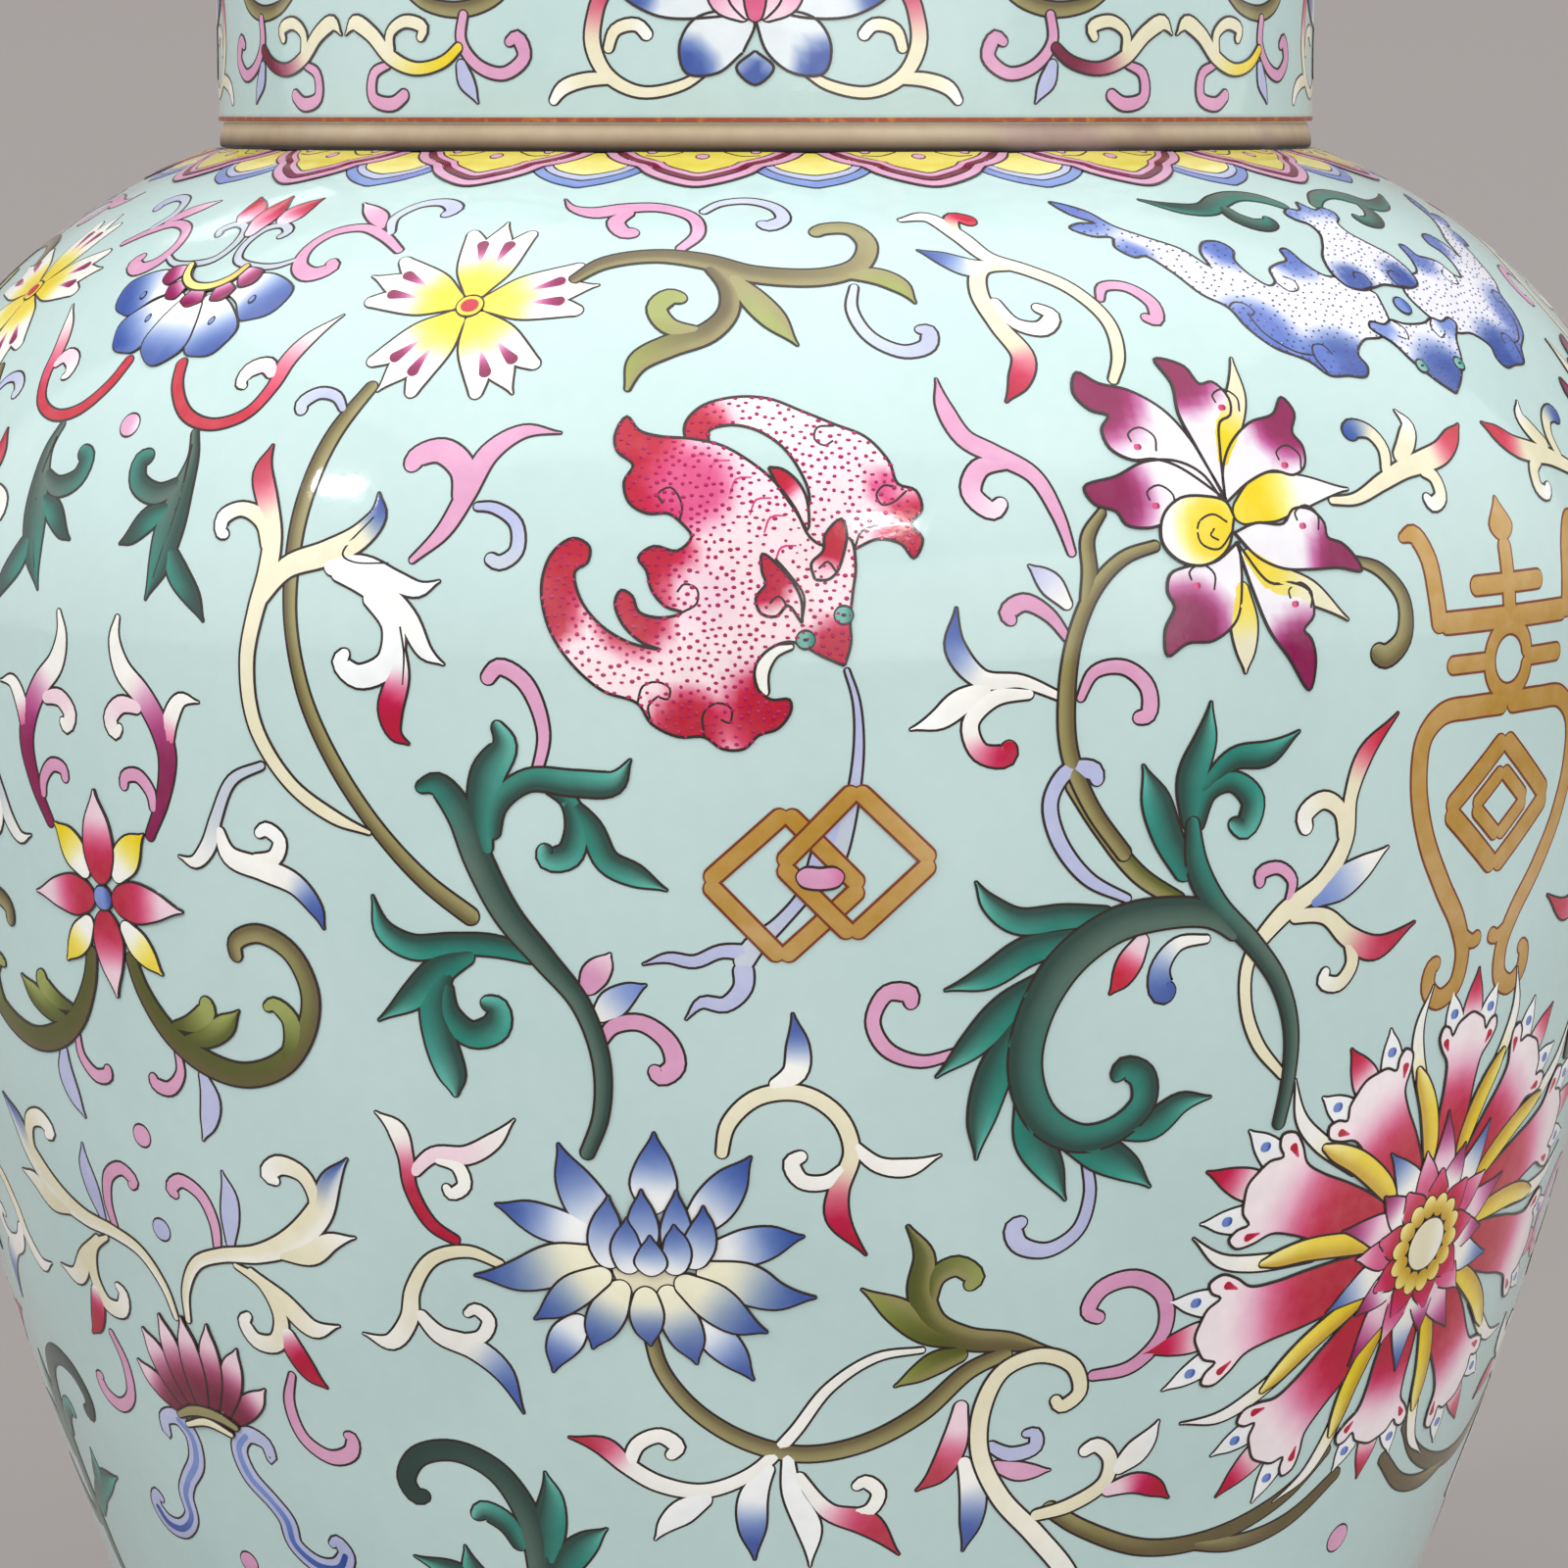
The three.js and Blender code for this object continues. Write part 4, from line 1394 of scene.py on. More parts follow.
blue_bat = Painting()
for side in (1, -1):
    blue_bat.coat = 0
    washes = [(218, 86, 48), (132, 62, 46), (165, -110, 72), (266, -50, 65), (376, 160, 65),
        (350, 80, 30), (205, -95, 40)]
    edge = blue_wing if side > 0 else other_side(blue_wing)
    blue_bat.shape(edge, MILK, *[(side * x, y, reach, BLUE if reach > 68 else linear(92, 116, 190)) for x,
        y, reach in washes])
    curls = [[(288, -14), (274, -6), (260, -10), (256, -22), (266, -28)], [(206, -114), (212, -90),
        (204, -74), (188, -74), (182, -88)], [(187, 25), (178, 9), (160, 12), (156, 26), (168, 34)],
        [(268, -24), (264, -54), (236, -82), (210, -88)]]
    blue_bat.ink_line(*[[(side * x, y) for x, y in curl] for curl in curls])
blue_bat.coat = 1
blue_bat.shape(whole(blue_tail), MILK, (49, 22, 40, BLUE), (-49, 22, 40, BLUE), (0, 174, 45, SKY),
    (40, 150, 25, SKY), (-40, 150, 25, SKY))
blue_bat.ink_line([(50, 7), (26, 14), (26, 32), (40, 36), (48, 26)], [(-50, 7), (-26, 14), (-26, 32),
    (-40, 36), (-48, 26)])
blue_bat.coat = 1
blue_bat.shape(whole(blue_head), MILK, (0, -134, 74, BLUE), (70, -52, 34, SKY), (-70, -52, 34, SKY))
blue_bat.ink_line([(42, -42), (28, -56), (34, -72), (50, -66)], [(-42, -42), (-28, -56), (-34, -72),
    (-50, -66)])
blue_bat.coat = 2
for x in (39, -39):
    blue_bat.dot(x, -110, 9, VERDIGRIS, TEAL)
(blue_bat
 .dot(2, -21, 13, SKY, BLUE)
 .dry())
for x in (39, -39):
    blue_bat.dot(x, -110, 2.8, INK)
(blue_bat
 .dry(outlined=False)
 .afresh()
 .both([(28, 164, 8), (58, 186, 11), (96, 193, 11), (136, 182, 13), (174, 164, 13), (216, 168, 11),
     (254, 188, 2)], SMOKE, BOTTLE, shade=TEAL, lit=-1)
 .both([(144, 172, 9), (140, 144, 14), (118, 129, 13), (94, 134, 10), (90, 146, 7)], SMOKE, TEAL,
     shade=BOTTLE)
 .dry()
 .both([(285, -272, 5), (246, -272, 7), (196, -254, 10), (154, -240, 12), (114, -232, 14), (76, -222, 14),
     (46, -204, 11), (24, -189, 1)], CREAM, RED, fade=(0.68, 0.95))
 .both([(186, -246, 7), (176, -214, 9), (188, -192, 10), (212, -187, 12), (226, -198, 10)], CREAM, BLUE,
     fade=(0.5, 1))
 .both([(160, -230, 10), (132, -206, 13), (119, -186, 10), (130, -166, 1)], CREAM, WHITE)
 .both([(128, -240, 9), (106, -252, 10), (104, -276, 10), (122, -284, 9.5), (132, -272, 6)], CREAM,
     WHITE))
lay_column(blue_bat, "blue_bat", MEDALLION_AXIS, 44)
freckle([(0, blue_wing), (0, other_side(blue_wing)), (1, whole(blue_tail)), (1, whole(blue_head))],
    "blue_bat", [(MEDALLION_AXIS, False), (FAR_MEDALLION, False)], 44, 0.00088, 0.00019, blue_stipple)

# Gilt medallion: an openwork ornament of plain gold bands, a lozenge and a ring in a lyre-shaped frame.
medallion = Painting(ink_colour=RUST)
(medallion
 .both([(190, 238, 5), (166, 242, 12), (148, 216, 13), (140, 170, 13.5), (134, 126, 13.5)], GOLD)
 .both([(0, 34, 13.5), (70, 34, 13.5), (126, 30, 13.5), (156, 4, 13.5), (160, -50, 13.5),
     (140, -114, 13.5), (100, -176, 13.5), (60, -226, 13.5), (42, -266, 13), (48, -304, 13),
     (76, -318, 13), (100, -300, 12), (98, -276, 11), (84, -270, 9)], GOLD)
 .both([(54, -238, 9), (26, -252, 9), (9, -246, 11)], GOLD)
 .both([(134, 136, 13.5), (70, 136, 13.5), (0, 136, 13.5)], GOLD)
 .stroke([(0, 136, 13), (0, 190, 13), (0, 230, 13)], GOLD)
 .stroke([(0, 226, 24), (0, 246, 24), (0, 279, 2)], GOLD)
 .both([(0, 176, 12), (40, 176, 12), (76, 176, 12)], GOLD)
 .dry())
medallion.coat = 0
ring = [(40 * math.cos(a), 86 + 40 * math.sin(a), 11) for a in np.linspace(0, 2 * math.pi, 13)]
(medallion
 .stroke(ring, GOLD)
 .both([(36, 86, 11), (84, 86, 11), (120, 86, 11)], GOLD))
gilt_line_between(medallion, [(0, -8), (104, -86), (0, -164), (-104, -86)], 13, closed=True)
gilt_line_between(medallion, [(0, -46), (54, -86), (0, -126), (-54, -86)], 10, closed=True)
medallion.dry()
lay_column(medallion, "gilt_medallion", MEDALLION_AXIS, -12, finish=gold_paint)

# Left acanthus and lotus: a dark green stem with shaded leaves rises from a blue and white lotus flower.
left_acanthus = Painting()
leaf = dict(start=TEAL, end=JADE, fade=(0.3, 1.1), shade=BOTTLE)
(left_acanthus
 .stroke([(126, -116, 6), (142, -94, 9), (174, -89, 10), (204, -112, 11), (209, -140, 12),
     (192, -152, 11), (183, -140, 7)], PINK)
 .stroke([(112, -56, 9), (124, -34, 16), (136, -19, 11), (143, -8, 1)], PINK, BLUSH)
 .stroke([(122, -86, 8), (142, -68, 17), (164, -52, 11), (182, -44, 1)], IVORY, SKY, fade=(0, 1))
 .dry()
 .stroke([(60, -16, 9), (10, -4, 13), (-40, -4, 13), (-90, -10, 15), (-124, 8, 12), (-136, 48, 1)],
     lit=-1, **leaf)
 .stroke([(-16, -14, 9), (-56, -34, 17), (-92, -68, 16), (-138, -100, 1)], lit=-1, **leaf)
 .stroke([(-44, -26, 9), (-66, -68, 17), (-62, -120, 20), (-50, -164, 16), (-48, -186, 3)], **leaf)
 .stroke([(-52, -48, 9), (-50, -86, 14), (-24, -110, 16), (6, -99, 17), (9, -76, 13), (-10, -70, 8)],
     **leaf)
 .stroke([(76, 184, 8), (102, 166, 10), (110, 134, 13), (100, 104, 15), (76, 100, 13), (72, 116, 8)],
     lit=-1, **leaf)
 .stroke([(96, 170, 8), (126, 136, 13), (144, 98, 14), (176, 82, 13), (210, 66, 1)], **leaf)
 .dry()
 .stroke([(12, 120, 9), (20, 160, 12), (56, 188, 13), (110, 186, 15), (154, 188, 13), (173, 214, 1)],
     lit=-1, **leaf)
 .stroke([(2, 100, 11), (0, 150, 16), (10, 194, 20), (30, 228, 14), (19, 253, 6)], **leaf)
 .stroke([(100, -254, 8), (122, -200, 9), (126, -134, 10), (106, -68, 11), (66, -16, 14), (26, 34, 16),
     (-4, 94, 17), (-24, 148, 17), (-52, 180, 13), (-76, 174, 6)], SMOKE, TEAL, fade=(0.75, 1),
     shade=BOTTLE, lit=-1))
lay_round(left_acanthus, "left_acanthus", -16, -32)

lotus = Painting()
(lotus
 .stroke([(12, -50, 8), (24, -100, 9), (60, -152, 10), (116, -192, 11), (180, -210, 11), (250, -198, 11),
     (320, -160, 11), (380, -106, 10), (430, -84, 9)], OLIVE, shade=BROWN)
 .stroke([(-209, 52, 6), (-242, 72, 8), (-266, 116, 8.5), (-270, 156, 10), (-280, 188, 12),
     (-306, 208, 1)], CRIMSON, IVORY, fade=(0.35, 0.8))
 .stroke([(-264, 134, 8), (-234, 160, 10), (-194, 162, 12), (-160, 182, 10), (-134, 210, 1)], BLUSH,
     IVORY)
 .stroke([(-234, 156, 7), (-206, 148, 9), (-199, 124, 9), (-216, 113, 8), (-223, 124, 5)], IVORY)
 .stroke([(-156, 26, 6), (-198, 41, 8), (-244, 28, 9), (-272, -14, 10), (-280, -54, 12), (-306, -86, 11),
     (-343, -79, 1)], CREAM, IVORY)
 .stroke([(-268, -42, 8), (-242, -70, 12), (-200, -84, 15), (-166, -112, 13), (-143, -166, 1)], IVORY,
     BLUE, fade=(0.4, 0.95))
 .stroke([(-224, -74, 7), (-189, -68, 9), (-179, -46, 9), (-195, -33, 8), (-208, -42, 5)], IVORY)
 .stroke([(102, 170, 7), (112, 212, 9), (146, 244, 10), (196, 248, 10), (236, 220, 10), (250, 176, 10),
     (234, 130, 12), (232, 96, 14), (263, 48, 1)], CREAM, CRIMSON, fade=(0.66, 0.95))
 .stroke([(250, 186, 7), (280, 160, 10), (314, 156, 11), (352, 170, 1)], IVORY)
 .stroke([(244, 158, 8), (220, 140, 9.5), (192, 142, 10), (182, 164, 10), (198, 175, 7)], IVORY)
 .stroke([(160, 256, 7), (188, 274, 14), (192, 306, 13), (187, 344, 1)], IVORY, BLUE, fade=(0.35, 0.9))
 .dry())
for reach in ([(-20, 60, 14), (-50, 104, 26), (-70, 142, 20), (-84, 183, 1)],
        [(22, 100, 14), (24, 134, 27), (26, 166, 19), (27, 200, 1)], [(60, 75, 14), (92, 112, 24),
        (114, 142, 19), (136, 172, 1)], [(80, 48, 14), (130, 60, 23), (160, 68, 18), (193, 73, 1)],
        [(-46, 72, 14), (-96, 82, 22), (-128, 94, 17), (-162, 104, 1)], [(66, -26, 12), (90, -58, 21),
        (110, -83, 16), (129, -111, 1)], [(-64, -34, 12), (-84, -60, 21), (-96, -82, 16),
        (-104, -108, 1)]):
    lotus.stroke(reach, WHITE, BLUE, fade=(0.2, 1))
(lotus
 .dry()
 .dot(14, 34, 42, CREAM)
 .dry())
under_row = ([(-40, 46, 14), (-90, 33, 26), (-138, 16, 20), (-192, 12, 1)],
    [(-14, 14, 12), (-34, -24, 22), (-47, -52, 17), (-55, -74, 1)], [(32, 10, 12), (46, -30, 22),
    (58, -64, 18), (65, -90, 1)], [(70, 30, 14), (124, 14, 26), (160, -2, 18), (204, -4, 1)])
over_row = ([(-30, 26, 12), (-72, 0, 21), (-96, -21, 16), (-122, -39, 1)], [(10, 8, 12), (10, -26, 20),
    (11, -50, 14), (13, -67, 1)], [(46, 20, 12), (86, -9, 24), (116, -34, 18), (147, -48, 1)])
for row in (under_row, over_row):
    for reach in row:
        lotus.stroke(reach, linear(244, 242, 214), BLUE, fade=(0.2, 1.05))
    lotus.dry()
for row in (([(-26, 32, 14), (-34, 64, 20), (-31, 94, 15), (-28, 121, 1)], [(44, 40, 12), (48, 80, 18),
        (49, 105, 12), (50, 130, 1)]), ([(8, 40, 12), (10, 80, 19), (10, 106, 13), (10, 130, 1)],
        [(62, 34, 14), (74, 64, 19), (79, 88, 13), (80, 111, 1)]),
        ([(-6, 26, 13), (-10, 56, 18), (-9, 76, 12), (-8, 94, 1)], [(42, 26, 13), (48, 52, 17),
        (47, 72, 12), (46, 88, 1)]), ([(17, 24, 14), (18, 42, 19), (18, 58, 12), (18, 74, 1)],)):
    for reach in row:
        lotus.stroke(reach, WHITE, BLUE, fade=(0, 1.2))
    lotus.dry()
lay_round(lotus, "lotus", -8, -74)

# White scroll: under the lotus, a white scroll with coloured leaf tips crosses the brown stem.
white_scroll = Painting()
(white_scroll
 .stroke([(2, 64, 4), (-54, 56, 6), (-106, 18, 7), (-146, -44, 8), (-190, -96, 9), (-244, -120, 10),
     (-296, -112, 11), (-336, -88, 11), (-364, -64, 12), (-406, -54, 1)], IVORY, CRIMSON,
     fade=(0.82, 0.98))
 .stroke([(-334, -94, 8), (-324, -60, 10), (-298, -47, 10), (-278, -62, 10), (-288, -77, 7)], IVORY)
 .stroke([(-236, -126, 10), (-268, -150, 17), (-286, -168, 11), (-298, -189, 1)], WHITE)
 .stroke([(-168, -84, 7), (-186, -126, 17), (-185, -172, 16), (-180, -214, 1)], WHITE, BLUE,
     fade=(0.35, 0.9))
 .stroke([(-150, -66, 7), (-142, -120, 12), (-119, -172, 15), (-115, -224, 1)], WHITE)
 .stroke([(-138, -96, 7), (-98, -148, 11), (-52, -166, 16), (-11, -211, 1)], IVORY, CRIMSON,
     fade=(0.25, 0.85))
 .stroke([(-86, -154, 7), (-50, -148, 9), (-41, -124, 9), (-58, -109, 9), (-71, -118, 6)], IVORY)
 .afresh())
moss = dict(start=MOSS, end=LIME, fade=(0.1, 1), shade=OLIVE)
(white_scroll
 .stroke([(44, 72, 10), (4, 90, 19), (-36, 118, 16), (-76, 145, 1)], lit=-1, **moss)
 .stroke([(52, 58, 9), (18, 47, 15), (-6, 32, 11), (-31, 17, 1)], **moss)
 .stroke([(2, 120, 9), (10, 158, 12), (34, 170, 13), (55, 154, 12), (46, 140, 7)], lit=-1, **moss)
 .stroke([(156, 54, 2), (104, 68, 12), (50, 76, 15), (10, 98, 16), (-7, 140, 16), (-6, 186, 12),
     (-27, 224, 2)], BROWN, MOSS, fade=(0.2, 0.7), shade=OLIVE, lit=-1)
 .afresh()
 .stroke([(204, 14, 7), (260, 22, 9), (299, 64, 10), (294, 112, 11), (254, 138, 11), (212, 128, 11),
     (198, 100, 10), (218, 88, 8)], PINK)
 .stroke([(84, -66, 7), (114, -82, 10), (144, -74, 9.5), (142, -56, 8), (127, -56, 5)], LAVENDER)
 .stroke([(92, -94, 7), (126, -106, 13), (146, -108, 9), (166, -108, 1)], PINK)
 .stroke([(50, -6, 8), (44, -64, 16), (28, -102, 13), (3, -124, 1)], BLUSH, CRIMSON, fade=(0.25, 0.85))
 .stroke([(56, -82, 8), (72, -132, 16), (72, -174, 13), (65, -211, 1)], IVORY, BLUE, fade=(0.25, 0.9))
 .dry()
 .stroke([(162, -8, 7), (172, -22, 9), (194, -6, 9.5), (184, 30, 10), (142, 48, 10), (98, 32, 10),
     (76, -14, 11), (76, -76, 11), (106, -140, 12), (154, -196, 13), (202, -260, 13), (226, -330, 12)],
     CREAM, IVORY)
 .stroke([(146, -170, 8), (196, -159, 10), (238, -132, 10), (242, -100, 10), (222, -80, 10),
     (202, -90, 8)], CREAM, IVORY)
 .stroke([(248, -120, 9), (276, -96, 17), (292, -78, 12), (304, -56, 1)], IVORY, WHITE)
 .stroke([(236, -146, 8), (280, -139, 14), (308, -150, 12), (329, -167, 1)], BLUSH, CRIMSON,
     fade=(0.2, 0.8)))
lay_round(white_scroll, "white_scroll", 10, -88)

# Bottom spray: a dark green spray of leaves with a curled head rises from the foot under each lotus.
foot_spray = Painting()
(foot_spray
 .stroke([(44, -94, 12), (70, -58, 19), (94, -34, 14), (117, -16, 1)], **leaf)
 .stroke([(32, -80, 12), (46, -20, 21), (54, 24, 14), (50, 57, 1)], **leaf)
 .stroke([(10, -54, 9), (-6, -18, 14), (-34, -4, 13), (-47, -16, 7)], **leaf)
 .stroke([(8, -156, 11), (-36, -124, 17), (-84, -96, 17), (-135, -79, 1)], lit=-1, **leaf)
 .stroke([(4, -164, 10), (-38, -124, 16), (-58, -90, 15), (-64, -55, 1)], lit=-1, **leaf)
 .stroke([(20, -180, 10), (66, -176, 16), (104, -148, 14), (130, -112, 1)], **leaf)
 .stroke([(-30, -296, 8), (6, -240, 12), (24, -160, 16), (30, -80, 17), (22, -6, 16), (-10, 52, 15),
     (-60, 75, 14), (-110, 62, 13), (-130, 28, 12), (-118, 6, 11), (-102, 12, 8)], SMOKE, BOTTLE,
     shade=BOTTLE, lit=-1))
lay_round(foot_spray, "foot_spray", -18, -104)

# Right acanthus and curled flower: a great scroll of shaded green leaves, and a plum-tipped flower with a
# yellow spiral heart, outlined in ink and filled with enamel.
right_acanthus = Painting()
(right_acanthus
 .stroke([(-86, -164, 6), (-76, -210, 7.5), (-86, -254, 8.5), (-120, -276, 9.5), (-156, -266, 11),
     (-164, -244, 11), (-150, -236, 7)], LAVENDER)
 .stroke([(-250, -26, 6), (-293, -36, 7.5), (-334, -20, 8.5), (-352, 14, 8.5), (-338, 46, 10),
     (-313, 44, 11), (-309, 27, 7)], PINK)
 .stroke([(-38, 102, 8), (-54, 72, 16), (-65, 50, 12), (-77, 34, 1)], BLUSH, RED, fade=(0.2, 0.8))
 .stroke([(46, 92, 5), (4, 88, 9), (-16, 60, 13), (-10, 34, 16), (6, 34, 12)], IVORY, BLUE, fade=(0.3, 1))
 .stroke([(-140, 286, 10), (-98, 226, 10), (-50, 172, 10), (8, 136, 9)], OLIVE, shade=MOSS)
 .dry()
 .stroke([(-60, 144, 5), (-114, 172, 8), (-152, 220, 9), (-162, 264, 9), (-142, 296, 9.5),
     (-112, 294, 11), (-106, 278, 7)], LAVENDER)
 .stroke([(168, -86, 6), (124, -40, 8), (102, 10, 8), (102, 64, 9), (144, 114, 13), (200, 148, 13),
     (230, 196, 11), (233, 244, 10), (252, 292, 12), (303, 338, 1)], CREAM, RED, fade=(0.8, 0.97))
 .stroke([(226, 194, 8), (218, 230, 10), (192, 244, 11), (166, 228, 12), (172, 206, 9)], CREAM, IVORY)
 .stroke([(150, 128, 5), (154, 152, 7), (134, 169, 7.5), (109, 164, 8.5), (109, 148, 6)], PINK)
 .stroke([(184, 122, 7), (224, 142, 20), (260, 160, 15), (298, 181, 1)], SKY, IVORY, fade=(0, 0.8))
 .stroke([(154, 110, 9), (206, 106, 10), (244, 78, 13), (290, 60, 15), (354, 85, 1)], CREAM, CRIMSON,
     fade=(0.4, 0.9))
 .stroke([(246, 76, 9), (254, 44, 10), (236, 22, 10), (212, 28, 9.5), (216, 43, 6)], CREAM, IVORY)
 .dry())
frond = dict(start=TEAL, end=JADE, fade=(0.3, 1.1), shade=BOTTLE)
for lit, reach in ((-1, [(-80, 128, 10), (-140, 128, 15), (-194, 126, 15), (-228, 148, 10),
        (-245, 173, 1)]), (-1, [(-120, 104, 12), (-180, 90, 18), (-226, 62, 15), (-273, 48, 1)]),
        (-1, [(-150, 60, 12), (-200, 22, 20), (-238, -20, 16), (-275, -55, 1)]),
        (-1, [(-180, 10, 12), (-206, -50, 21), (-218, -110, 16), (-219, -157, 1)]),
        (1, [(-170, -80, 12), (-154, -134, 22), (-128, -176, 16), (-106, -214, 1)]),
        (1, [(-120, -134, 12), (-70, -158, 22), (-32, -180, 16), (0, -206, 1)]),
        (1, [(-50, -134, 10), (-8, -128, 18), (28, -104, 13), (67, -100, 1)]),
        (1, [(12, 220, 11), (10, 280, 19), (26, 326, 14), (32, 367, 1)]),
        (-1, [(24, 266, 10), (64, 300, 13), (110, 304, 14), (153, 327, 1)]),
        (-1, [(12, 164, 12), (-18, 216, 18), (-36, 260, 17), (-52, 299, 1)]),
        (-1, [(16, 220, 10), (34, 264, 10), (64, 274, 12), (92, 250, 15), (82, 220, 14), (62, 228, 7)])):
    right_acanthus.stroke(reach, lit=lit, **frond)
(right_acanthus
 .dry()
 .stroke([(84, 92, 9), (44, 120, 15), (-20, 126, 19), (-80, 114, 21), (-134, 74, 22), (-166, 14, 21),
     (-172, -50, 20), (-146, -110, 19), (-96, -138, 17), (-50, -128, 16), (-22, -98, 16), (-28, -66, 16),
     (-52, -56, 13), (-62, -70, 7)], SMOKE, TEAL, fade=(0.3, 0.9), shade=BOTTLE, lit=-1)
 .stroke([(167, -150, 8), (174, -90, 9), (170, -26, 10), (146, 32, 11), (102, 84, 12), (52, 130, 14),
     (22, 178, 14), (12, 236, 8)], SMOKE, TEAL, fade=(0.5, 1), shade=BOTTLE, lit=1))
lay_round(right_acanthus, "right_acanthus", 24, -42)

flower = Painting()
(flower
 .stroke([(-82, 202, 6), (-62, 240, 8), (-58, 290, 9), (-86, 342, 10), (-126, 372, 10), (-164, 394, 11),
     (-184, 436, 12), (-206, 472, 10), (-242, 466, 3)], CREAM, IVORY)
 .stroke([(-170, 402, 8), (-186, 444, 9), (-174, 472, 9), (-152, 460, 12)], CREAM, RED, fade=(0.5, 1))
 .stroke([(-140, 379, 7), (-180, 374, 9), (-198, 334, 11), (-192, 284, 12), (-178, 240, 14),
     (-194, 206, 12), (-216, 180, 1)], CREAM, CRIMSON, fade=(0.62, 0.95))
 .stroke([(-186, 326, 7), (-172, 288, 9), (-142, 280, 11), (-124, 300, 10), (-142, 314, 7)], IVORY)
 .stroke([(-164, 382, 7), (-194, 378, 16), (-220, 394, 12), (-243, 409, 1)], IVORY, BLUE, fade=(0.2, 0.9))
 .stroke([(-56, 320, 5), (-44, 342, 7), (-14, 342, 8), (10, 314, 9.5), (4, 290, 9), (-12, 296, 6)], PINK)
 .stroke([(-174, -4, 5), (-186, 46, 8), (-206, 90, 10), (-246, 116, 12), (-276, 136, 12), (-289, 174, 10),
     (-288, 212, 1)], PINK)
 .stroke([(-228, 106, 8), (-266, 99, 11), (-281, 70, 12), (-260, 50, 11), (-244, 62, 7)], PINK, BLUSH)
 .stroke([(-182, -62, 6), (-202, -36, 14), (-214, -24, 10), (-227, -13, 1)], IVORY, LAVENDER, fade=(0, 1))
 .stroke([(-184, -98, 5), (-208, -68, 8), (-236, -54, 10), (-255, -66, 10), (-248, -78, 6)], PINK)
 .stroke([(-190, -162, 5), (-240, -142, 8), (-286, -138, 11), (-316, -102, 12), (-313, -58, 1)], IVORY,
     BLUE, fade=(0.5, 0.95))
 .stroke([(-276, -146, 8), (-310, -164, 15), (-334, -182, 12), (-366, -193, 1)], IVORY, WHITE)
 .stroke([(-226, -156, 6), (-272, -160, 10), (-298, -188, 10), (-286, -220, 11), (-256, -224, 13),
     (-252, -208, 8)], IVORY, CRIMSON, fade=(0.55, 1))
 .stroke([(-172, -166, 5), (-154, -134, 7.5), (-118, -130, 8.5), (-89, -154, 9.5), (-88, -184, 10),
     (-106, -188, 7)], PINK)
 .stroke([(194, -22, 5), (234, -36, 8), (269, -72, 10), (268, -116, 13), (240, -135, 14),
     (218, -126, 11)], OLIVE, shade=BROWN)
 .dry()
 .stroke([(-130, 48, 5), (-154, 16, 8), (-156, -22, 9), (-162, -60, 9)], OLIVE, shade=BROWN)
 .stroke([(-68, 6, 6), (-114, -8, 7.5), (-152, -42, 8.5), (-178, -96, 9), (-187, -160, 10),
     (-182, -224, 10), (-154, -286, 9), (-106, -348, 9)], OLIVE, shade=BROWN)
 .dry()
 .stroke([(30, 94, 8), (46, 136, 17), (72, 180, 13), (84, 232, 1)], YELLOW, CREAM, fade=(0.1, 0.6))
 .stroke([(34, 34, 12), (80, 54, 28), (130, 60, 20), (200, 60, 1)], YELLOW, IVORY, fade=(0.2, 0.6))
 .stroke([(40, -6, 8), (80, -40, 18), (126, -56, 14), (181, -90, 1)], YELLOW, CREAM, fade=(0.1, 0.6))
 .stroke([(32, -40, 8), (34, -86, 18), (36, -120, 12), (36, -143, 1)], YELLOW, CREAM, fade=(0.1, 0.7))
 .dry())
PEARL = linear(236, 234, 240)
plum_petals = [([(26, 54), (8, 96), (-6, 130), (-30, 166), (-66, 192), (-100, 202), (-122, 217),
    (-134, 190), (-120, 168), (-100, 160), (-112, 144), (-108, 120), (-84, 105), (-56, 105), (-30, 96)],
    (-116, 186, 80), (-74, 120)), ([(24, 46), (0, 86), (-30, 102), (-70, 102), (-108, 86), (-149, 74),
    (-140, 54), (-115, 45), (-106, 30), (-80, 25), (-56, 30), (-30, 40)], (-128, 62, 75), (-66, 50)),
    ([(24, 54), (0, 120), (-11, 160), (-8, 200), (-19, 233), (16, 222), (28, 198), (46, 200), (61, 178),
    (56, 156), (40, 148), (30, 110)], (0, 218, 70), (48, 166)),
    ([(24, 50), (28, 88), (46, 120), (80, 146), (116, 156), (135, 177), (147, 156), (136, 132),
    (146, 114), (142, 90), (124, 80), (96, 86), (60, 74)], (132, 152, 68), (114, 92)),
    ([(30, 16), (60, 26), (98, 24), (114, 40), (138, 39), (156, 22), (158, 6), (178, -2), (194, -16),
    (205, -35), (170, -30), (130, -30), (90, -27), (56, -12)], (186, -20, 70), (124, 20)),
    ([(30, 6), (46, -46), (68, -96), (96, -130), (125, -167), (133, -134), (126, -108), (116, -98),
    (130, -82), (124, -54), (102, -44), (70, -42)], (118, -138, 75), (104, -68)),
    ([(34, 6), (33, -40), (24, -82), (-6, -104), (-40, -106), (-65, -119), (-68, -90), (-55, -64),
    (-63, -48), (-58, -28), (-36, -20), (0, -16)], (-42, -96, 75), (-26, -42))]
for nth, (edge, tip, spot) in enumerate(plum_petals):
    flower.coat = 2
    flower.shape(edge, PEARL, (*tip, MAUVE))
    x, y = spot
    (flower
     .ink_line([(x + 22, y - 6), (x + 24, y + 12), (x + 8, y + 24), (x - 8, y + 16), (x - 6, y + 6)])
     .dot(x, y, 5, ROSE, MAUVE)
     .dry(outlined=False))
flower.coat = 3
flower.shape([(32, 34), (18, -2), (-12, -19), (-44, -14), (-64, 8), (-59, 38), (-34, 58), (0, 59),
    (24, 52)], IVORY, (2, 22, 55, YELLOW))
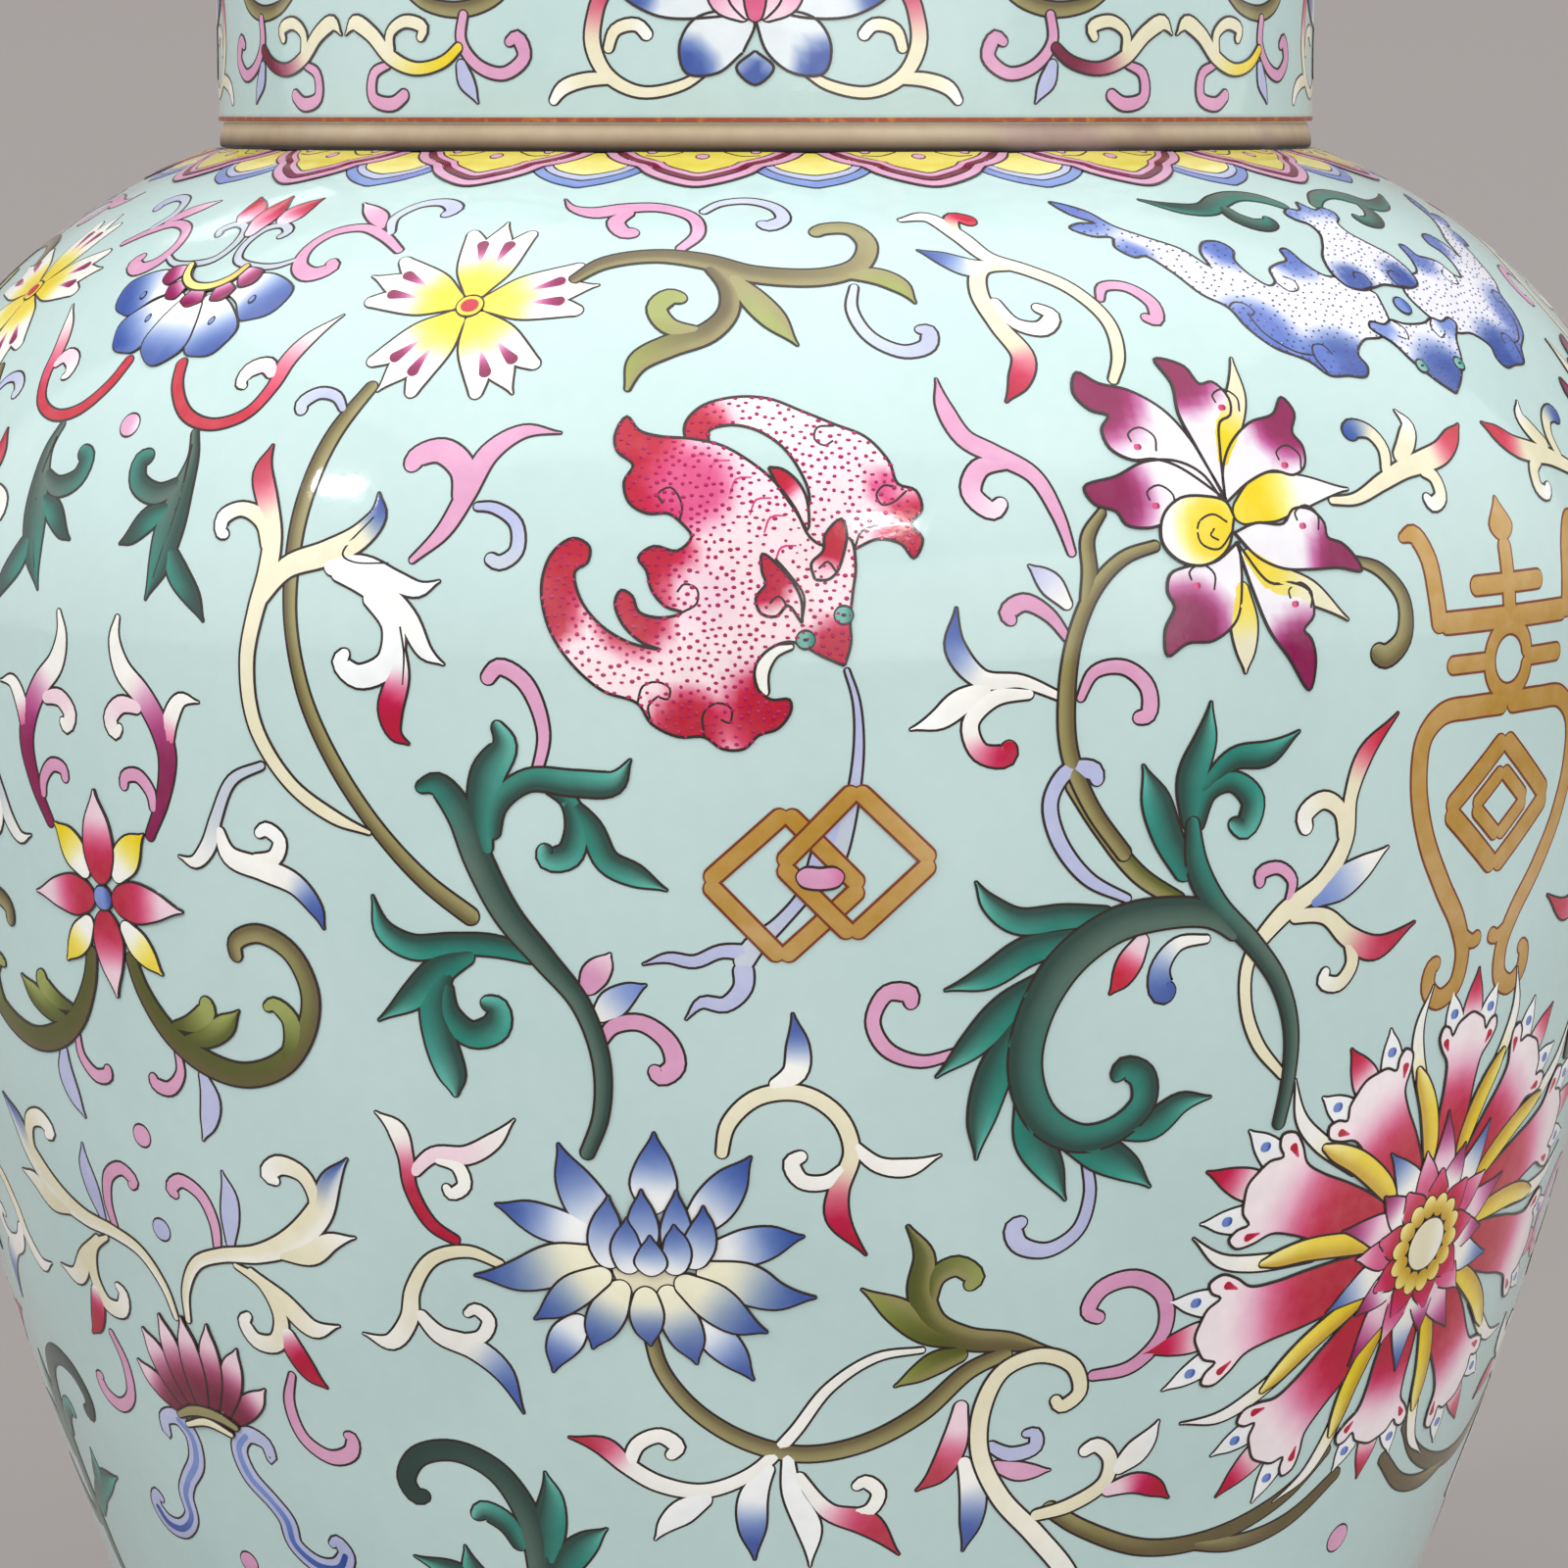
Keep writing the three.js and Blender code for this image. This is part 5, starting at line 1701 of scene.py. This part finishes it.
flower.ink_line([(29, 20), (6, -2), (-16, 6), (-16, 28), (4, 38), (22, 28)], [(8, 8), (-2, 14), (4, 22)])
lay_round(flower, "curled_flower", 26, 12)

# Peony: under each medallion a great open flower of ten lobed crimson petals round a ring of yellow
# stamens, each ring of petals a coat of enamel over the last.
peony = Painting()
(peony
 .both([(-80, -260, 9), (-140, -316, 11), (-240, -354, 12), (-340, -354, 11), (-440, -314, 10),
     (-500, -276, 9)], BROWN, OLIVE, shade=BROWN)
 .both([(-44, -300, 9), (-120, -354, 11), (-200, -370, 11), (-280, -356, 10)], BROWN, OLIVE, shade=BROWN)
 .dot(0, -406, 19, PINK)
 .dry())
PEONY_PETALS = [(90, 34, 0.8), (128, 34, 1), (52, 34, 1), (160, 41, 1), (20, 41, 1), (191, 42, 1),
    (-11, 42, 1), (229, 38, 1), (-49, 38, 1), (270, 31, 1)]


def lobed_petal(painting, angle, length, wide):
    """One petal: a crimson and white blade that ends in a red tip, two eyed leaves and two round knobs."""
    reach = length / 40

    def placed(*points):
        return turned([(x * reach, y * wide, half) for x, y, half in points], angle)

    for side in (-1, 1):
        painting.stroke(placed((300, side * 24, 12), (334, side * 41, 18), (360, side * 51, 13),
            (386, side * 60, 1)), WHITE)
    (painting
     .stroke(placed((310, 0, 15), (350, 0, 20), (380, 0, 14), (415, 0, 1)), SHELL, CLARET, fade=(0.3, 1))
     .dry())
    for side in (-1, 1):
        painting.dot(*placed((352, side * 48, 0))[0][:2], 7.5, SKY, BLUE)
    painting.dry(outlined=False)
    half = [(65, 14), (100, 26), (150, 35), (200, 39), (246, 40), (280, 46), (300, 64), (320, 75),
        (336, 68), (332, 54), (320, 44), (336, 34), (344, 19), (350, 0)]
    edge = placed(*[(x, -y, 0) for x, y in half], *[(x, y, 0) for x, y in half[-2::-1]])
    x, y = placed((90, 0, 0))[0][:2]
    painting.coat = 2
    painting.shape([p[:2] for p in edge], linear(248, 236, 240), (x, y, 230 * reach, ROSE),
        (x, y, 190 * reach, CLARET))
    for side in (-1, 1):
        painting.stroke(placed((298, side * 49, 2.5), (316, side * 61, 7.5)), ROSE, CLARET, fade=(0, 0.6))
    painting.dry(outlined=False)
    painting.coat = 1


PEONY_GAPS = ((108, 1), (72, -1), (143, 1), (37, -1), (174, 1), (6, -1), (211, 1), (-31, -1), (247, 1),
    (-67, -1))
for angle, bendy in PEONY_GAPS:
    stretch = 1 + 0.22 * abs(math.cos(math.radians(angle)))
    horn = [(200, 2 * bendy, 11), (250 * stretch, 13 * bendy, 11), (290 * stretch, 8 * bendy, 8),
        (330 * stretch, -20 * bendy, 1)]
    peony.stroke(turned(horn, angle), LEMON, IVORY, fade=(0, 0.6))
peony.dry()
for petal in PEONY_PETALS:
    peony.coat = 0.4
    lobed_petal(peony, *petal)
peony.coat = 3
for angle, bendy in PEONY_GAPS:
    stretch = 1 + 0.22 * abs(math.cos(math.radians(angle)))
    streamer = [(100, 0, 7), (140, -6 * bendy, 14), (180 * stretch, -3 * bendy, 15),
        (220 * stretch, 8 * bendy, 11), (240 * stretch, 14 * bendy, 4)]
    peony.stroke(turned(streamer, angle), YELLOW, LEMON, shade=AMBER)
peony.dry()
for nth in range(10):
    angle = 36 * nth + 18
    tint = (IVORY, BLUE) if nth % 2 else (BLUSH, MAUVE)
    peony.stroke(turned([(60, 0, 16), (104, 0, 23), (136, 4, 14), (174, 12, 1)], angle), *tint,
        fade=(0.35, 1.1))
peony.dry()
for nth in range(10):
    tint = (ROSE, BLUSH) if nth % 2 else (IVORY, MAUVE)
    peony.stroke(turned([(50, 0, 18), (84, 0, 22), (110, 0, 13), (132, 0, 1)], 36 * nth), *tint,
        fade=(0.35, 1.1))
peony.dry()
for nth in range(9):
    peony.stroke(turned([(40, 0, 17), (68, 0, 22), (98, 0, 4)], 40 * nth + 10), CLARET, ROSE,
        fade=(0.2, 1))
peony.dry()
for nth in range(14):
    peony.stroke(turned([(36, 0, 10), (52, 0, 13.5), (66, 0, 10)], 360 / 14 * nth), AMBER, LEMON,
        fade=(0, 1))
(peony
 .dry()
 .dot(0, 0, 35, CREAM, IVORY))
lay_column(peony, "peony", MEDALLION_AXIS, -76)

# Foot border: pointed petals in layers of enamel stand round the foot, and a low garland with palmettes
# fills the wall above them.
FOOT_PETALS = 16
FOOT_PETAL_SEAT = -181.5   # millimetres up from the belly line


def foot_petal_edge(inset):
    """The upper edge of one petal of the foot border, from left to right."""
    half = [(0, 16.4 - 1.2 * inset), (0, 16.4 - 1.2 * inset), (5.4 - 0.5 * inset, 13 - inset),
        (10.4 - 0.9 * inset, 9 - 0.8 * inset), (13.4 - inset, 3.4), (13.6 - inset, 0)]
    return [(-x, y) for x, y in half[:0:-1]] + half


foot_petal = Painting()
for inset, start, end, inked in ((-0.35, INK, None, True), (0.05, BLUSH, PINK, False),
        (2, INK, None, True), (2.3, SKY, LAVENDER, False), (4.4, INK, None, True),
        (4.7, WHITE, IVORY, False), (7, CRIMSON, ROSE, False)):
    edge = foot_petal_edge(inset)
    foot_petal.panel(edge, [(x, 0) for x, y in edge], start, end, inked=inked)
    foot_petal.coat += 0.35
foot_border = repeated_round([loose(foot_petal, "foot_petal", jar_wall, 0, FOOT_PETAL_SEAT)],
    "foot_border", FOOT_PETALS, enamel)
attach(foot_border, "jar")

palmette = Painting()
(palmette
 .both([(14, -140, 9), (46, -134, 12), (90, -116, 14), (140, -126, 12), (174, -156, 11), (206, -140, 10),
     (202, -116, 8)], SMOKE, TEAL, shade=BOTTLE)
 .both([(70, -124, 9), (110, -86, 17), (154, -70, 13), (194, -76, 1)], BOTTLE, TEAL, fade=(0, 0.9),
     shade=SMOKE)
 .both([(18, -120, 10), (52, -60, 19), (84, -18, 15), (120, 8, 1)], BOTTLE, TEAL, fade=(0, 0.9),
     shade=SMOKE, lit=-1)
 .dry()
 .both([(14, -100, 10), (36, -34, 18), (42, 16, 13), (38, 60, 1)], BOTTLE, TEAL, fade=(0, 0.9),
     shade=SMOKE, lit=-1)
 .dry()
 .stroke([(0, -120, 12), (0, -40, 20), (0, 30, 17), (0, 96, 1)], IVORY, BLUE, fade=(0.4, 1))
 .stroke([(-34, -144, 12), (0, -152, 15), (34, -144, 12)], PINK, ROSE))
lay_column(palmette, "palmette", PENDANT_AXIS, -139)
lay_column(palmette, "low_palmette", MEDALLION_AXIS, -141)
garland = Painting()
(garland
 .stroke([(-300, 36, 5), (-240, -14, 9), (-160, -34, 11), (-80, -12, 11), (0, 44, 11), (80, 82, 11),
     (160, 70, 11), (220, 22, 10), (234, -34, 10), (196, -60, 10), (170, -36, 8)], OLIVE, shade=BROWN)
 .stroke([(-140, -32, 9), (-166, 16, 16), (-204, 46, 13), (-250, 70, 1)], OLIVE, LIME, shade=MOSS)
 .stroke([(20, 50, 9), (64, 22, 16), (96, -22, 13), (100, -66, 1)], OLIVE, LIME, shade=MOSS, lit=-1)
 .stroke([(-40, 4, 5), (-34, -46, 8), (-66, -84, 10), (-110, -80, 11), (-116, -54, 9), (-96, -48, 6)],
     PINK)
 .stroke([(60, 80, 5), (66, 126, 8), (34, 160, 10), (-10, 152, 11), (-12, 126, 8)], LAVENDER)
 .stroke([(130, 80, 8), (176, 104, 16), (216, 136, 12), (246, 180, 1)], IVORY, CRIMSON, fade=(0.3, 0.9)))
lay_round(garland, "garland", 5, -141)

# Lid painting: four blue and white lotus flowers round the side, with pairs of hooked scrolls between them.
LID_LOTUS_AXIS = -1
LID_FLOWERS = 4
lid_lotus = Painting(brush=0.8)
(lid_lotus
 .both([(56, -104, 6), (86, -122, 8), (136, -130, 9), (176, -110, 11), (194, -74, 12.5), (189, -32, 12),
     (174, 6, 12), (184, 46, 11), (220, 66, 1)], CREAM, CRIMSON, fade=(0.5, 0.85))
 .both([(176, -84, 8), (166, -58, 9.5), (140, -52, 10), (124, -68, 9.5)], CREAM, IVORY)
 .both([(168, -114, 9), (204, -116, 11), (232, -126, 11), (246, -144, 7)], CREAM, IVORY)
 .dry())
MIST = linear(222, 230, 234)
lid_petals = [[(6, 20), (34, 60), (74, 88), (104, 134), (56, 136), (22, 104), (6, 60)],
    [(10, -6), (60, 6), (114, 34), (146, 82), (94, 84), (40, 56)], [(10, -32), (60, -44), (120, -40),
    (162, -10), (140, 22), (86, 30), (30, 12)], [(1, -48), (36, -36), (72, -46), (89, -76), (81, -108),
    (44, -108), (14, -84)]]
for edge, (x, y) in zip(lid_petals, ((92, 126), (134, 76), (156, -14), (84, -106))):
    for side in (1, -1):
        lid_lotus.coat = 1
        lid_lotus.shape(edge if side > 0 else other_side(edge), MIST, (side * x, y, 50, BLUE))
lid_lotus.coat = 1
lid_lotus.shape([(0, 30), (32, 80), (34, 130), (0, 184), (-34, 130), (-32, 80)], MIST, (0, 174, 64, BLUE))
lid_lotus.coat = 1
lid_lotus.shape([(0, -82), (22, -102), (0, -122), (-22, -102)], MIST, (0, -110, 30, BLUE))
for reach in ([(8, -44, 9), (40, -26, 15), (48, 10, 12), (42, 48, 1)], [(4, -44, 9), (20, -18, 15),
        (22, 20, 11), (19, 54, 1)]):
    (lid_lotus
     .both(reach, BLUSH, ROSE, fade=(0.1, 0.9))
     .dry())
lid_lotus.stroke([(0, -48, 10), (0, -24, 16), (0, 16, 11), (0, 48, 1)], ROSE, CRIMSON, fade=(0.1, 0.9))
hooks = Painting(brush=0.8)
(hooks
 .both([(104, -6, 7), (140, -26, 10), (196, -32, 12), (244, -12, 12), (264, 34, 11), (246, 80, 10),
     (206, 90, 10), (188, 66, 8)], OLIVE, shade=BROWN)
 .both([(226, 90, 8), (218, 136, 15), (186, 168, 12), (144, 176, 1)], OLIVE, LIME, shade=MOSS)
 .dry()
 .both([(194, -34, 8), (190, -70, 9), (214, -99, 9.5), (250, -108, 10), (276, -88, 11), (266, -66, 11),
     (252, -74, 7)], PINK)
 .both([(188, -92, 8), (196, -116, 14), (204, -128, 10), (213, -143, 1)], LAVENDER)
 .both([(82, -96, 6), (54, -108, 9), (52, -136, 10), (84, -144, 11), (109, -130, 10)], PINK)
 .dry())
for side, tint in ((1, YELLOW), (-1, WINE)):
    reach = [(190, -74, 8), (164, -94, 9), (122, -102, 10), (82, -88, 12), (50, -60, 13), (20, -47, 12),
        (4, -61, 1)]
    curl = [(82, -86, 9), (82, -60, 9), (106, -46, 10), (134, -54, 10), (128, -69, 7)]
    for points, first in ((reach, tint), (curl, CREAM)):
        hooks.stroke([(side * x, y, w) for x, y, w in points], first, CREAM, fade=(0.1, 0.6))
hooks.dry()
for nth in range(5):
    hooks.stroke(turned([(10, 0, 10), (40, 0, 23), (66, 0, 19), (88, 0, 3)], 90 + 72 * nth, 0, 86),
        CRIMSON, BLUSH, fade=(0.1, 0.8))
(hooks
 .dry()
 .dot(0, 86, 15, YELLOW))
for nth in range(LID_FLOWERS):
    degrees = LID_LOTUS_AXIS + 360 / LID_FLOWERS * nth
    lid_lotus.lay(f"lid_lotus_{nth + 1}", lid_wall, degrees, 20, "lid")
    hooks.lay(f"lid_hooks_{nth + 1}", lid_wall, degrees - 180 / LID_FLOWERS, 20, "lid")

crown_flower = Painting()
for nth in range(8):
    angle = 45 * nth
    (crown_flower
     .stroke(turned([(240, 0, 8), (310, 30, 10), (370, 14, 11), (410, -36, 11), (390, -80, 10),
         (350, -76, 9)], angle), OLIVE, shade=BROWN)
     .stroke(turned([(310, 30, 8), (354, 70, 16), (410, 84, 12), (460, 70, 1)], angle), OLIVE, LIME,
         shade=MOSS)
     .stroke(turned([(400, -20, 8), (450, -14, 16), (500, -36, 12), (536, -74, 1)], angle), BOTTLE, TEAL,
         shade=SMOKE)
     .stroke(turned([(270, -46, 5), (300, -66, 8), (310, -100, 9), (280, -116, 9.5), (264, -98, 7)],
         angle), PINK))
crown_flower.dry()
for nth in range(8):
    angle = 45 * nth + 22.5
    for side in (-1, 1):
        crown_flower.stroke(turned([(120, side * 16, 12), (180, side * 32, 26), (230, side * 46, 19),
            (270, side * 58, 3)], angle), IVORY, SKY, fade=(0.2, 0.95))
    crown_flower.stroke(turned([(100, 0, 16), (180, 0, 30), (250, 0, 22), (306, 0, 1)], angle), IVORY,
        BLUE, fade=(0.4, 1))
crown_flower.dry()
for nth in range(8):
    crown_flower.stroke(turned([(60, 0, 18), (120, 0, 38), (170, 0, 28), (220, 0, 1)], 45 * nth), CRIMSON,
        BLUSH, fade=(0.1, 0.9))
crown_flower.dry()
for nth in range(8):
    crown_flower.stroke(turned([(46, 0, 18), (86, 0, 26), (134, 0, 2)], 45 * nth + 22.5), MAUVE, BLUSH,
        fade=(0.1, 1))
crown_flower.dry()
for nth in range(14):
    crown_flower.stroke(turned([(38, 0, 10), (56, 0, 14), (72, 0, 10)], 360 / 14 * nth), AMBER, LEMON,
        fade=(0, 1))
(crown_flower
 .dry()
 .dot(0, 0, 37, CREAM, IVORY))
crown_flower.lay("crown_flower", lid_wall, 0, 0, "lid", pole=True)
